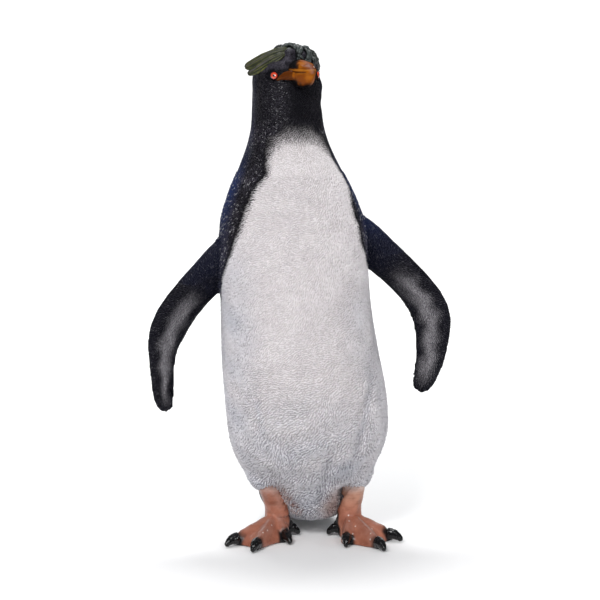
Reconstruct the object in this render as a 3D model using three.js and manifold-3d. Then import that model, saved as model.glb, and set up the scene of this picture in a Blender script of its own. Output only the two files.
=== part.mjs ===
// A cast and painted statue of a crested penguin, standing upright with its flippers held out from the
// body and its head turned a little to its left. Millimetres, +Z up, the bill towards -Y, and the
// statue's own right on the -X side. The body is one loft, to which brows, cheeks, muzzle, crown tufts and
// the fluff over the legs are joined. Thin cuts part it into head, neck, trunk and thighs. The flippers,
// feet, tail, bill, eyes, crest plumes and claws are fitted against it.
import * as THREE from "three";
import { mergeVertices } from "three/addons/utils/BufferGeometryUtils.js";
import Module from "manifold-3d";

const wasm = await Module();
wasm.setup();

// ---- driving dimensions -------------------------------------------------------------------------

const GAP = 0.3; // space left between two neighbouring parts
const RIGHT = -1; // the statue's right side, at -X
const LEFT = 1;

// The body, from the crown down to the vent: height, sideways lean, half width, front and back.
const BODY = [
  { z: 547, lean: -24, half: 0, front: 2, back: 2 },
  { z: 545, lean: -24, half: 16, front: -14, back: 19 },
  { z: 538, lean: -24, half: 27.5, front: -25, back: 31 },
  { z: 527, lean: -24, half: 34, front: -32, back: 38.5 },
  { z: 510, lean: -24, half: 37, front: -35, back: 42.5 },
  { z: 488, lean: -24, half: 37.8, front: -36, back: 43.5 },
  { z: 457, lean: -23, half: 40.5, front: -39, back: 44 },
  { z: 433, lean: -22, half: 48.5, front: -45, back: 47 },
  { z: 410, lean: -21, half: 59, front: -54, back: 51 },
  { z: 386, lean: -20, half: 70, front: -65, back: 57 },
  { z: 356, lean: -19, half: 79.5, front: -76, back: 64 },
  { z: 312, lean: -18.5, half: 81.5, front: -87, back: 71 },
  { z: 264, lean: -15.5, half: 82, front: -94, back: 78 },
  { z: 214, lean: -11, half: 86, front: -98, back: 83 },
  { z: 170, lean: -5, half: 89, front: -97, back: 86 },
  { z: 132, lean: -1, half: 89, front: -90, back: 88 },
  { z: 106, lean: 0, half: 85.5, front: -79, back: 87 },
  { z: 82, lean: 0, half: 75, front: -63, back: 84 },
  { z: 60, lean: 1, half: 61, front: -45, back: 78 },
  { z: 38, lean: 2, half: 46, front: -27, back: 66 },
  { z: 22, lean: 5, half: 34, front: -12, back: 50 },
  { z: 15.5, lean: 5, half: 0, front: 16, back: 16 },
];
const BODY_AROUND = 28;
const BODY_RINGS = 32;
const BODY_SQUARENESS = 2.15; // 2 is an ellipse, more is boxier

// The head turns about its own centre, midway between the eyes. All of its forms are placed from there.
const HEAD_CENTRE = new THREE.Vector3(-24, 3, 516);
const HEAD_TURN = THREE.MathUtils.degToRad(15); // towards the statue's left
const HEAD_FROM_Z = 470;
const NECK_FROM_Z = 412;

// Swellings of the head, as {aside, out, up} for the centre, in degrees from straight ahead and
// millimetres from the axis, and half sizes along the surface, outwards and upwards.
const BROW = { aside: 36, out: 27, up: 11, along: 16, deep: 10, high: 8 };
const CHEEK = { aside: 50, out: 21, up: -20, along: 25, deep: 18.2, high: 26 };
const MUZZLE = { aside: 0, out: 23, up: 4, along: 19, deep: 18, high: 20 };

const EYE = { round: 6.2, out: 32.8, aside: 45, up: 0 };

// Bill: distance ahead of the head's centre, half width, top and bottom.
const BILL = [
  { ahead: 28, half: 0, top: 4, bottom: 4 },
  { ahead: 30, half: 12.6, top: 17.5, bottom: -9.8 },
  { ahead: 41, half: 12.5, top: 17.8, bottom: -10.8 },
  { ahead: 52, half: 11.7, top: 16.8, bottom: -10.4 },
  { ahead: 61, half: 9.9, top: 14.2, bottom: -8.6 },
  { ahead: 68.5, half: 7.2, top: 10.4, bottom: -6 },
  { ahead: 73.5, half: 4.4, top: 5.6, bottom: -3.6 },
  { ahead: 75, half: 0, top: 1, bottom: 1 },
];
// The line of the closed mouth, as points ahead and up. The upper half hooks over the lower one's tip.
const MOUTH = [[20, 5.2], [58, 4.6], [66, 2.6], [70, -1], [72, -7], [72, -30], [20, -30]];
// The fleshy corner of the mouth: a strip from the bill's base back towards the eye.
const GAPE = {
  from: { aside: 14.5, out: 45, up: 2.6 },
  to: { aside: 35, out: 39.5, up: -4.2 },
  high: 4.6,
  deep: 3.4,
};

// Crest: the middle line of each plume, as distance aside, back and up from the head's centre.
const PLUMES = [
  {
    line: [[9, -21, 25.5], [18, -15, 25.5], [28, -9, 20.5], [36.5, -1, 14], [44, 6, 10]],
    half: 6.2,
    thick: 2.8,
  },
  {
    line: [[12.5, -25, 21], [21.5, -20.5, 18.5], [29.5, -15.5, 13.8], [35.5, -7.5, 7.5], [39, 2.5, 1]],
    half: 6,
    thick: 2.8,
  },
];

// Tufts of the crown and forehead: how many, how wide they spread, where their middle lies, how far the
// outer ones lie below it, and the half sizes of one.
const TUFTS = { count: 12, spread: 21, ahead: 9, up: 28.5, drop: 5.3, half: 5.4, long: 8, high: 5 };

// Flippers: the leading and the trailing edge from the shoulder to the tip, and the half thickness.
const RIGHT_FLIPPER = [
  { lead: [-72, -8, 345], trail: [-74, 8, 290], thick: 0 },
  { lead: [-76, -10, 352], trail: [-76, 10, 286], thick: 11 },
  { lead: [-101, -13, 338], trail: [-93, 13, 281], thick: 10.5 },
  { lead: [-120, -15, 318], trail: [-108, 14, 269], thick: 9 },
  { lead: [-145, -17, 292], trail: [-126, 14, 248], thick: 7.6 },
  { lead: [-166, -19, 267], trail: [-138, 13, 228], thick: 6.6 },
  { lead: [-177.5, -20, 241], trail: [-147, 12, 210], thick: 5.8 },
  { lead: [-178.5, -20, 215], trail: [-150, 11, 193], thick: 5 },
  { lead: [-176, -18, 187], trail: [-151, 9, 172], thick: 4.2 },
  { lead: [-173, -14, 163], trail: [-152, 5, 157], thick: 3.6 },
  { lead: [-167, -9, 150.5], trail: [-154, 0, 149.5], thick: 2.6 },
  { lead: [-160, -4, 147], trail: [-160, -4, 147], thick: 0 },
];
const LEFT_FLIPPER = [
  { lead: [40, -8, 358], trail: [42, 8, 306], thick: 0 },
  { lead: [44, -10, 364], trail: [44, 10, 302], thick: 11 },
  { lead: [65, -13, 358], trail: [60, 13, 306], thick: 10.5 },
  { lead: [86, -15, 338], trail: [77, 14, 295], thick: 9 },
  { lead: [115, -17, 311], trail: [99, 14, 275], thick: 7.6 },
  { lead: [141, -19, 283], trail: [116, 13, 254], thick: 6.6 },
  { lead: [155, -20, 258], trail: [122.5, 12, 233], thick: 5.8 },
  { lead: [156.5, -20, 233], trail: [125, 11, 213], thick: 5 },
  { lead: [151, -18, 202], trail: [123.5, 9, 192], thick: 4.2 },
  { lead: [142, -14, 176], trail: [119.5, 5, 173], thick: 3.6 },
  { lead: [135, -9, 165], trail: [122, 0, 164], thick: 2.6 },
  { lead: [128, -4, 161], trail: [128, -4, 161], thick: 0 },
];

// Tail, from inside the rump to the tip on the floor: how far back, half width, top and bottom.
const TAIL = [
  { back: 36, half: 0, top: 56, bottom: 56 },
  { back: 40, half: 48, top: 74, bottom: 34 },
  { back: 64, half: 50, top: 62, bottom: 22 },
  { back: 86, half: 45, top: 43, bottom: 11 },
  { back: 106, half: 37, top: 24, bottom: 2 },
  { back: 123, half: 26, top: 11, bottom: -2 },
  { back: 133, half: 16, top: 5.5, bottom: -2 },
  { back: 136, half: 0, top: 1.5, bottom: 1.5 },
];

// Legs and feet. Each toe has its heading in degrees outwards from straight ahead, and the reach of its
// claw's tip from the ankle. The leg leans outwards to its top, inside the feathering.
const LEG_TOP = 92;
const FEET = {
  right: {
    side: RIGHT,
    ankle: new THREE.Vector3(-36, -4, 0),
    legTop: new THREE.Vector3(-49, -8, LEG_TOP),
    toes: {
      inner: { heading: -12, reach: 45 },
      middle: { heading: 27, reach: 83 },
      outer: { heading: 55, reach: 78 },
      hind: { heading: -97, reach: 27 },
    },
  },
  left: {
    side: LEFT,
    ankle: new THREE.Vector3(44.5, -14, 0),
    legTop: new THREE.Vector3(51, -16, LEG_TOP),
    toes: {
      inner: { heading: -13, reach: 57 },
      middle: { heading: 19, reach: 84 },
      outer: { heading: 56, reach: 66 },
      hind: { heading: -106, reach: 26 },
    },
  },
};
// Feathering over the top of each leg: its half sizes, and where its middle lies by the leg's top.
const FLUFF = { half: 23, deep: 33, high: 35, inwards: 0.94, back: 6, z: 88, lean: 0.3 };
// The block that parts each thigh from the trunk, measured from the top of the leg.
const THIGH = { inwards: 25, outwards: 60, ahead: 120, back: 30, bottom: 30, top: 118 };
const KNEE = { share: 0.42, z: 58 }; // where the leg bends, as a share of the way to the ankle
const LEG_ROUND = [15, 15, 13.6, 12.9, 14, 15]; // from the top to the sole
const ANKLE_HEIGHT = 31;
const HEEL_REACH = 12; // how far the sole runs back from the ankle
const TOE_ROUND = 6.5;
// The web between the toes: its middle heading, the height of its edge and rim, how far it bulges past
// a straight line between two toes and how deep its scallops are, and the ridge along each toe.
const WEB = { heading: 22, edge: 6.5, rim: 1.2, bulge: 1.04, scallop: 0.05, ridge: 8.5, ridgeWidth: 9 };
const CLAW_INSET = 6; // how far a claw's root is set into its toe
const CLAW = { length: 19, round: 6.2, high: 8, tip: 1.8 };
const HIND_CLAW = { length: 16, round: 5.6, high: 9, tip: 1.6 };
const HIND_TOE = { rootZ: 22, middleZ: 16, tipZ: 8.5, half: 5.6, high: 6, overlap: 4 };

// ---- shapes -------------------------------------------------------------------------------------

const vector = (x, y, z) => new THREE.Vector3(x, y, z);
const radians = THREE.MathUtils.degToRad;
const UP = vector(0, 0, 1);

// A smooth curve through the rows of a table: a share from 0 to 1 gives each of the named values.
function smoothTable(rows, names) {
  const steps = rows.map((_, i) => i / (rows.length - 1));
  const values = rows.flatMap((row) => names.map((name) => row[name]));
  const curve = new THREE.CubicInterpolant(steps, values, names.length);
  return (share) => {
    const at = curve.evaluate(THREE.MathUtils.clamp(share, 0, 1));
    return Object.fromEntries(names.map((name, i) => [name, at[i]]));
  };
}

// A closed three.js geometry as a solid that can be joined and cut.
function solidOf(geometry) {
  const bare = new THREE.BufferGeometry().setAttribute("position", geometry.getAttribute("position"));
  bare.setIndex(geometry.index);
  const merged = mergeVertices(bare, 1e-3);
  return new wasm.Manifold(
    new wasm.Mesh({
      numProp: 3,
      vertProperties: new Float32Array(merged.attributes.position.array),
      triVerts: new Uint32Array(merged.index.array),
    }),
  );
}

function geometryOf(solid) {
  const mesh = solid.getMesh();
  return new THREE.BufferGeometry()
    .setAttribute("position", new THREE.BufferAttribute(mesh.vertProperties, 3))
    .setIndex(new THREE.BufferAttribute(mesh.triVerts, 1));
}

// A unit sphere whose vertices are moved. place(share, across, ahead) gets the share of the way from one
// pole to the other, and the direction round the axis as a sine and a cosine.
function warpedSphere(around, rings, place) {
  const geometry = new THREE.SphereGeometry(1, around, rings);
  const position = geometry.getAttribute("position");
  const at = new THREE.Vector3();
  for (let i = 0; i < position.count; i++) {
    at.fromBufferAttribute(position, i);
    const polar = Math.acos(THREE.MathUtils.clamp(at.y, -1, 1));
    const ring = Math.hypot(at.x, at.z);
    const [across, ahead] = ring > 1e-6 ? [at.x / ring, at.z / ring] : [1, 0];
    position.setXYZ(i, ...place(polar / Math.PI, across, ahead).toArray());
  }
  return solidOf(geometry);
}

// A limb along a smooth line. sizeAt(along) gives its half width and its half height, and sideOf(along,
// forwards) the direction of its width, level and square to the line unless one is given.
const levelSide = (along, forwards) => forwards.clone().cross(UP).normalize();

function limb(points, sizeAt, { around = 10, rings = 10, sideOf = levelSide, blunt = 1.9 } = {}) {
  const line = new THREE.CatmullRomCurve3(points);
  return warpedSphere(around, rings, (share, across, ahead) => {
    const along = (1 - Math.cos(share * Math.PI)) / 2;
    const end = Math.min(1, Math.sin(share * Math.PI) * blunt);
    const forwards = line.getTangent(along);
    const sideways = sideOf(along, forwards);
    const below = forwards.clone().cross(sideways).normalize();
    const [half, high] = sizeAt(along);
    return line
      .getPoint(along)
      .addScaledVector(sideways, half * end * across)
      .addScaledVector(below, high * end * ahead);
  });
}

function block(low, high) {
  const size = high.clone().sub(low);
  const geometry = new THREE.BoxGeometry(size.x, size.y, size.z);
  geometry.translate((low.x + high.x) / 2, (low.y + high.y) / 2, (low.z + high.z) / 2);
  return solidOf(geometry);
}

// One side's direction on a boxier ellipse.
const boxy = (share, power) => Math.sign(share) * Math.abs(share) ** (2 / power);

const joined = (solids) => solids.reduce((all, one) => all.add(one));

// A solid without the crumbs that a cut may leave beside it.
const largest = (solid) =>
  solid.decompose().reduce((most, one) => (one.volume() > most.volume() ? one : most));

// A point of the head, given from its centre before it turns: sideways, back and up.
const onHead = (x, y, z) => vector(x, y, z).applyAxisAngle(UP, HEAD_TURN).add(HEAD_CENTRE);

// The same, by the angle from straight ahead towards one side.
const aroundHead = (side, { aside, out, up }) =>
  onHead(side * out * Math.sin(radians(aside)), -out * Math.cos(radians(aside)), up);

// ---- body ---------------------------------------------------------------------------------------

function bodyLoft(grow) {
  const rows = smoothTable(BODY, ["z", "lean", "half", "front", "back"]);
  return warpedSphere(BODY_AROUND, BODY_RINGS, (share, across, ahead) => {
    const row = rows(share);
    const half = row.half + grow;
    const deep = (row.back - row.front) / 2 + grow;
    const closing = row.half > 0 ? 1 : 0;
    return vector(
      row.lean + closing * half * boxy(across, BODY_SQUARENESS),
      (row.front + row.back) / 2 - closing * deep * boxy(ahead, BODY_SQUARENESS),
      row.z + (share < 0.5 ? grow : -grow) * (1 - closing),
    );
  });
}

// A rounded swelling of the head, longest along the surface.
function swelling(side, form, grow) {
  const geometry = new THREE.SphereGeometry(1, 10, 6);
  geometry.scale(form.along + grow, form.deep + grow, form.high + grow);
  geometry.rotateZ(HEAD_TURN + side * radians(form.aside));
  geometry.translate(...aroundHead(side, form).toArray());
  return solidOf(geometry);
}

// Knobbly tufts on the crown, set out in a sunflower pattern.
function crownTufts(grow) {
  const goldenAngle = 2.4;
  const tufts = [];
  for (let i = 0; i < TUFTS.count; i++) {
    const out = TUFTS.spread * Math.sqrt((i + 0.6) / TUFTS.count);
    const geometry = new THREE.SphereGeometry(1, 7, 5);
    geometry.scale(TUFTS.half + grow, TUFTS.long + grow, TUFTS.high + grow);
    const place = onHead(
      out * Math.cos(i * goldenAngle),
      out * Math.sin(i * goldenAngle) - TUFTS.ahead,
      TUFTS.up - TUFTS.drop * (out / TUFTS.spread) ** 4,
    );
    geometry.translate(...place.toArray());
    tufts.push(solidOf(geometry));
  }
  return tufts;
}

// Feathering that hangs over the top of each leg.
function thighFluff(foot, grow) {
  const geometry = new THREE.SphereGeometry(1, 14, 10);
  geometry.scale(FLUFF.half + grow, FLUFF.deep + grow, FLUFF.high + grow);
  geometry.rotateY(-foot.side * FLUFF.lean);
  geometry.translate(foot.legTop.x * FLUFF.inwards, foot.legTop.y + FLUFF.back, FLUFF.z);
  return solidOf(geometry);
}

function wholeBody(grow) {
  return joined([
    bodyLoft(grow),
    swelling(LEFT, MUZZLE, grow),
    ...[RIGHT, LEFT].flatMap((side) => [swelling(side, BROW, grow), swelling(side, CHEEK, grow)]),
    ...crownTufts(grow),
    ...Object.values(FEET).map((foot) => thighFluff(foot, grow)),
  ]);
}

// The part of a solid between two heights, half a gap inside each.
function slice(solid, low, high) {
  const reach = 400;
  const bottom = vector(-reach, -reach, low + GAP / 2);
  return solid.intersect(block(bottom, vector(reach, reach, high - GAP / 2)));
}

// The corner of the trunk that is the thigh.
function thighBlock(foot, grow) {
  const inner = foot.legTop.x - foot.side * THIGH.inwards;
  const outer = foot.legTop.x + foot.side * THIGH.outwards;
  return block(
    vector(Math.min(inner, outer) - grow, foot.legTop.y - THIGH.ahead, THIGH.bottom - grow),
    vector(Math.max(inner, outer) + grow, foot.legTop.y + THIGH.back + grow, THIGH.top + grow),
  );
}

// ---- flippers -----------------------------------------------------------------------------------

// A blade from the shoulder to the tip. It is thickest near its leading edge.
function flipper(table) {
  const rows = table.map(({ lead, trail, thick }) => ({
    leadX: lead[0], leadY: lead[1], leadZ: lead[2],
    trailX: trail[0], trailY: trail[1], trailZ: trail[2],
    thick,
  }));
  const at = smoothTable(rows, Object.keys(rows[0]));
  const edges = (share) => {
    const row = at(share);
    const lead = vector(row.leadX, row.leadY, row.leadZ);
    const trail = vector(row.trailX, row.trailY, row.trailZ);
    return { lead, trail, middle: lead.clone().lerp(trail, 0.5), thick: Math.max(0, row.thick) };
  };
  return warpedSphere(12, 17, (share, across, ahead) => {
    const { lead, trail, thick } = edges(share);
    const along = edges(share + 0.02).middle.sub(edges(share - 0.02).middle);
    const face = along.cross(lead.clone().sub(trail)).normalize();
    const forward = (1 + across) / 2;
    const shape = 0.4 + 0.9 * forward;
    return trail.lerp(lead, forward).addScaledVector(face, thick * shape * ahead);
  });
}

// ---- tail ---------------------------------------------------------------------------------------

function tail() {
  const rows = smoothTable(TAIL, ["back", "half", "top", "bottom"]);
  return warpedSphere(12, 10, (share, across, ahead) => {
    const row = rows(share);
    const high = (row.top - row.bottom) / 2;
    return vector(
      row.half * boxy(across, 2.6),
      row.back,
      (row.top + row.bottom) / 2 - high * boxy(ahead, 2.3),
    );
  });
}

// ---- feet ---------------------------------------------------------------------------------------

// A place round the ankle: degrees outwards from straight ahead, how far out and how high.
function aroundAnkle(foot, heading, out, height) {
  const angle = radians(heading);
  return vector(
    foot.ankle.x + foot.side * out * Math.sin(angle),
    foot.ankle.y - out * Math.cos(angle),
    height,
  );
}

// How far the webbed sole runs in one direction: to the rounded ends of the toes, straight across the
// web between them with a slight scallop, and along the outer toes' sides to the heel.
function soleReach(foot, heading) {
  const { inner, middle, outer } = foot.toes;
  const ends = [inner, middle, outer].map((toe) => ({
    heading: toe.heading,
    centre: toe.reach - CLAW.length - TOE_ROUND + CLAW_INSET,
  }));
  const toRay = (end) => radians(heading - end.heading);
  let reach = HEEL_REACH;
  for (const end of ends) {
    const off = end.centre * Math.sin(toRay(end));
    const ahead = Math.cos(toRay(end)) > 0;
    if (ahead && Math.abs(off) < TOE_ROUND)
      reach = Math.max(reach, end.centre * Math.cos(toRay(end)) + Math.sqrt(TOE_ROUND ** 2 - off ** 2));
    else if (ahead)
      reach = Math.max(reach, Math.min(end.centre, TOE_ROUND / Math.abs(Math.sin(toRay(end)))));
  }
  for (const [from, to] of [[ends[0], ends[1]], [ends[1], ends[2]]]) {
    if (heading < from.heading || heading > to.heading) continue;
    const whole = radians(to.heading - from.heading);
    const chord =
      (from.centre * to.centre * Math.sin(whole)) /
      (from.centre * Math.sin(toRay(from)) - to.centre * Math.sin(toRay(to)));
    const share = toRay(from) / whole;
    reach = Math.max(reach, chord * (WEB.bulge - WEB.scallop * Math.sin(Math.PI * share)));
  }
  return reach;
}

// The webbed sole: flat below, and above it slopes from the ankle to the web's thick front edge, with a
// ridge along each toe.
function sole(foot) {
  const ridgeAt = (heading, reach) => {
    const offs = ["inner", "middle", "outer"].map((name) => heading - foot.toes[name].heading);
    const nearest = Math.min(...offs.map(Math.abs));
    return Math.exp(-(((reach * radians(nearest)) / WEB.ridgeWidth) ** 2));
  };
  return warpedSphere(30, 10, (share, across, ahead) => {
    const turn = Math.atan2(across, ahead);
    const crowded = turn - 0.4 * Math.sin(turn); // more vertices in front
    const heading = WEB.heading + foot.side * THREE.MathUtils.radToDeg(crowded);
    const reach = soleReach(foot, heading);
    const upper = share < 0.5;
    const out = Math.sin(Math.PI * share);
    const edge = WEB.edge + WEB.ridge * ridgeAt(heading, reach);
    const slope = edge + (ANKLE_HEIGHT - edge) * (1 - out) ** 1.1;
    const rim = Math.sqrt(1 - out ** 12);
    const height = upper ? Math.max(WEB.rim, slope * rim) : 0;
    return aroundAnkle(foot, heading, reach * out, height);
  });
}

// The leg, from inside the feathering down to the heel.
function leg(foot) {
  const points = [
    foot.legTop,
    foot.legTop.clone().lerp(foot.ankle, KNEE.share).setZ(KNEE.z),
    foot.ankle.clone().setZ(ANKLE_HEIGHT),
    foot.ankle.clone().setZ(3),
  ];
  const round = smoothTable(LEG_ROUND.map((half) => ({ half })), ["half"]);
  const sizeAt = (along) => Array(2).fill(round(along).half);
  return limb(points, sizeAt, { around: 12, rings: 7, sideOf: () => vector(1, 0, 0) });
}

function hindToe(foot) {
  const { heading, reach } = foot.toes.hind;
  const points = [
    aroundAnkle(foot, heading, 0, HIND_TOE.rootZ),
    aroundAnkle(foot, heading, reach * 0.45, HIND_TOE.middleZ),
    aroundAnkle(foot, heading, reach - HIND_CLAW.length + HIND_TOE.overlap, HIND_TOE.tipZ),
  ];
  return limb(points, () => [HIND_TOE.half, HIND_TOE.high], { around: 8, rings: 5 });
}

// A claw: a blunt cone that bends down to the floor, its root set into the toe.
function claw(foot, name, grow) {
  const { heading, reach } = foot.toes[name];
  const size = name === "hind" ? HIND_CLAW : CLAW;
  const points = [
    aroundAnkle(foot, heading, reach - size.length - grow, size.high),
    aroundAnkle(foot, heading, reach - size.length * 0.5, size.high),
    aroundAnkle(foot, heading, reach - size.tip * 0.4 + grow, size.tip + 0.4),
  ];
  const rootHalf = size.round + grow;
  const sizeAt = (along) => {
    const half = THREE.MathUtils.lerp(rootHalf, size.tip + grow, along ** 1.6);
    return [half, half * 1.15];
  };
  return limb(points, sizeAt, { around: 8, rings: 6 });
}

const clawNames = ["inner", "middle", "outer", "hind"];

// ---- bill, eyes and crest -----------------------------------------------------------------------

function bill() {
  const rows = smoothTable(BILL, ["ahead", "half", "top", "bottom"]);
  return warpedSphere(14, 12, (share, across, ahead) => {
    const row = rows(share);
    const high = Math.max(0, (row.top - row.bottom) / 2);
    const half = Math.max(0, row.half);
    return onHead(
      -half * boxy(across, 2.5),
      -row.ahead,
      (row.top + row.bottom) / 2 - high * boxy(ahead, 2.2),
    );
  });
}

// What lies below the line of the mouth, moved forwards and up by some millimetres.
function belowMouth(moved) {
  const outline = new THREE.Shape(MOUTH.map(([ahead, up]) => new THREE.Vector2(ahead + moved, up + moved)));
  const wide = 60;
  const geometry = new THREE.ExtrudeGeometry(outline, { depth: wide, bevelEnabled: false });
  geometry.translate(0, 0, -wide / 2);
  geometry.rotateX(Math.PI / 2);
  geometry.rotateZ(HEAD_TURN - Math.PI / 2);
  geometry.translate(...HEAD_CENTRE.toArray());
  return solidOf(geometry);
}

function gape(side) {
  const ends = [GAPE.from, GAPE.to].map((end) => aroundHead(side, end));
  const middle = aroundHead(side, {
    aside: (GAPE.from.aside + GAPE.to.aside) / 2,
    out: GAPE.from.out,
    up: (GAPE.from.up + GAPE.to.up) / 2,
  });
  const sizeAt = (along) => [GAPE.deep, GAPE.high * (1 - 0.35 * along)];
  return limb([ends[0], middle, ends[1]], sizeAt, { around: 6, rings: 6, blunt: 1.3 });
}

function eye(side, grow) {
  const geometry = new THREE.SphereGeometry(EYE.round + grow, 10, 7);
  geometry.rotateZ(HEAD_TURN);
  geometry.translate(...aroundHead(side, EYE).toArray());
  return solidOf(geometry);
}

// One plume of the crest: a thick leaf that starts at the brow, lies along the head and ends free.
function plume(side, { line, half, thick }) {
  const points = line.map(([x, y, z]) => onHead(side * x, y, z));
  const sideOf = (along, forwards) => {
    const outwards = forwards.clone().cross(UP).multiplyScalar(-side);
    return outwards.cross(forwards).normalize();
  };
  const sizeAt = (along) => [half * (0.85 + 0.3 * along), thick];
  return limb(points, sizeAt, { around: 6, rings: 8, sideOf, blunt: 1.5 });
}

// ---- assembly -----------------------------------------------------------------------------------

const paint = (color, roughness) => new THREE.MeshStandardMaterial({ color, roughness, metalness: 0 });
const DARK = paint(0x1c1e24, 0.55);
const WHITE = paint(0xd9d3cf, 0.6);
const TERRACOTTA = paint(0xa9644a, 0.3);
const BLACK = paint(0x0b0b0c, 0.2);
const ORANGE = paint(0xb5651d, 0.3);
const RED = paint(0xe0502a, 0.1);
const OLIVE = paint(0x5a5c2c, 0.5);

const penguin = new THREE.Group();

function place(name, solid, material) {
  const mesh = new THREE.Mesh(geometryOf(largest(solid)), material);
  mesh.name = name;
  penguin.add(mesh);
}

const eyeRoom = joined([eye(RIGHT, GAP), eye(LEFT, GAP)]);
const body = wholeBody(0).subtract(eyeRoom);
const bodyRoom = wholeBody(GAP);
const aboveFloor = block(vector(-400, -400, 0), vector(400, 400, 800));

place("head", slice(body, HEAD_FROM_Z, 700), DARK);
place("neck", slice(body, NECK_FROM_Z, HEAD_FROM_Z), DARK);
const thighRoom = joined(Object.values(FEET).map((foot) => thighBlock(foot, GAP)));
place("trunk", slice(body, -10, NECK_FROM_Z).subtract(thighRoom), WHITE);
place("tail", tail().intersect(aboveFloor).subtract(bodyRoom), DARK);
place("flipper_right", flipper(RIGHT_FLIPPER).subtract(bodyRoom), DARK);
place("flipper_left", flipper(LEFT_FLIPPER).subtract(bodyRoom), DARK);

for (const [side, foot] of Object.entries(FEET)) {
  const clawRoom = joined(clawNames.map((name) => claw(foot, name, GAP)));
  const whole = joined([sole(foot), leg(foot), hindToe(foot)]);
  place("thigh_" + side, body.intersect(thighBlock(foot, 0)), WHITE);
  const bare = whole.subtract(bodyRoom).subtract(clawRoom);
  place("leg_" + side, slice(bare, ANKLE_HEIGHT, LEG_TOP), TERRACOTTA);
  place("foot_" + side, bare.intersect(slice(aboveFloor, -GAP / 2, ANKLE_HEIGHT)), TERRACOTTA);
  for (const name of clawNames)
    place(`claw_${side}_${name}`, claw(foot, name, 0).intersect(aboveFloor), BLACK);
}

const headRoom = bodyRoom.add(eyeRoom);
const lowerBill = joined([bill(), gape(RIGHT), gape(LEFT)]).intersect(belowMouth(0));
place("bill_upper", bill().subtract(belowMouth(GAP)).subtract(headRoom), ORANGE);
place("bill_lower", lowerBill.subtract(headRoom), ORANGE);

for (const [name, side] of [["right", RIGHT], ["left", LEFT]]) {
  place("eye_" + name, eye(side, 0), RED);
  const plumes = joined(PLUMES.map((form) => plume(side, form)));
  place("crest_" + name, plumes.subtract(headRoom), OLIVE);
}

// The origin is at the middle of the footprint, on the floor.
const footprint = new THREE.Box3().setFromObject(penguin).getCenter(new THREE.Vector3());
penguin.position.set(-footprint.x, -footprint.y, 0);

export default penguin;
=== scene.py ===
import math

import bpy
import numpy as np
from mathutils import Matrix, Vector
from mathutils.bvhtree import BVHTree
from mathutils.kdtree import KDTree


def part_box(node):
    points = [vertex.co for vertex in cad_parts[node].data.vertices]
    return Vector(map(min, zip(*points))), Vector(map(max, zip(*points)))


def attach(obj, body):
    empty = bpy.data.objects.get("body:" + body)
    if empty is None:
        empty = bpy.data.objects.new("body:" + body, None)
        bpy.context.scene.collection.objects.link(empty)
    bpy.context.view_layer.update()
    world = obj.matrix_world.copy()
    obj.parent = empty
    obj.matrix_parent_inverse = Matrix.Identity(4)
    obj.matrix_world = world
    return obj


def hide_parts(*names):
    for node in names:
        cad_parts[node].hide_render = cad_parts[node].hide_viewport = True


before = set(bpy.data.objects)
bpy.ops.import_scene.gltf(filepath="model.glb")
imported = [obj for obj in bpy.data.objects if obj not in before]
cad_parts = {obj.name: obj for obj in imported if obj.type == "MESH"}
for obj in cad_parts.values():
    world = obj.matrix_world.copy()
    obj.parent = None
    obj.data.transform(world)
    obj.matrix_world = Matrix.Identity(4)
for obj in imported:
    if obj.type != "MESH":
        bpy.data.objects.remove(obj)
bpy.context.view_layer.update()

bpy.ops.object.select_all(action="DESELECT")

# ---- studio --------------------------------------------------------------------------------------
# The statue stands on a pale studio floor that sweeps up behind it. A softbox lights it from the left,
# in front and above, a weak one fills in, small strobes add glints, and the lit sweep rims its edges.

FLOOR_HALF = 30.0
SWEEP_BACK = 3.5
SWEEP_ROUND = 1.2
SWEEP_HIGH = 5.0
SWEEP_STEPS = 16


def finish_of(name, rough=0.5, specular=0.5, coat=0.0, coat_rough=0.03):
    """A new material, and the object coordinates on it, in metres."""
    material = bpy.data.materials.new(name)
    material.use_nodes = True
    nodes = material.node_tree.nodes
    sockets = nodes["Principled BSDF"].inputs
    sockets["Roughness"].default_value = rough
    sockets["Specular IOR Level"].default_value = specular
    sockets["Coat Weight"].default_value = coat
    sockets["Coat Roughness"].default_value = coat_rough
    return material, Sums(nodes.new("ShaderNodeTexCoord").outputs["Object"])


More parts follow.
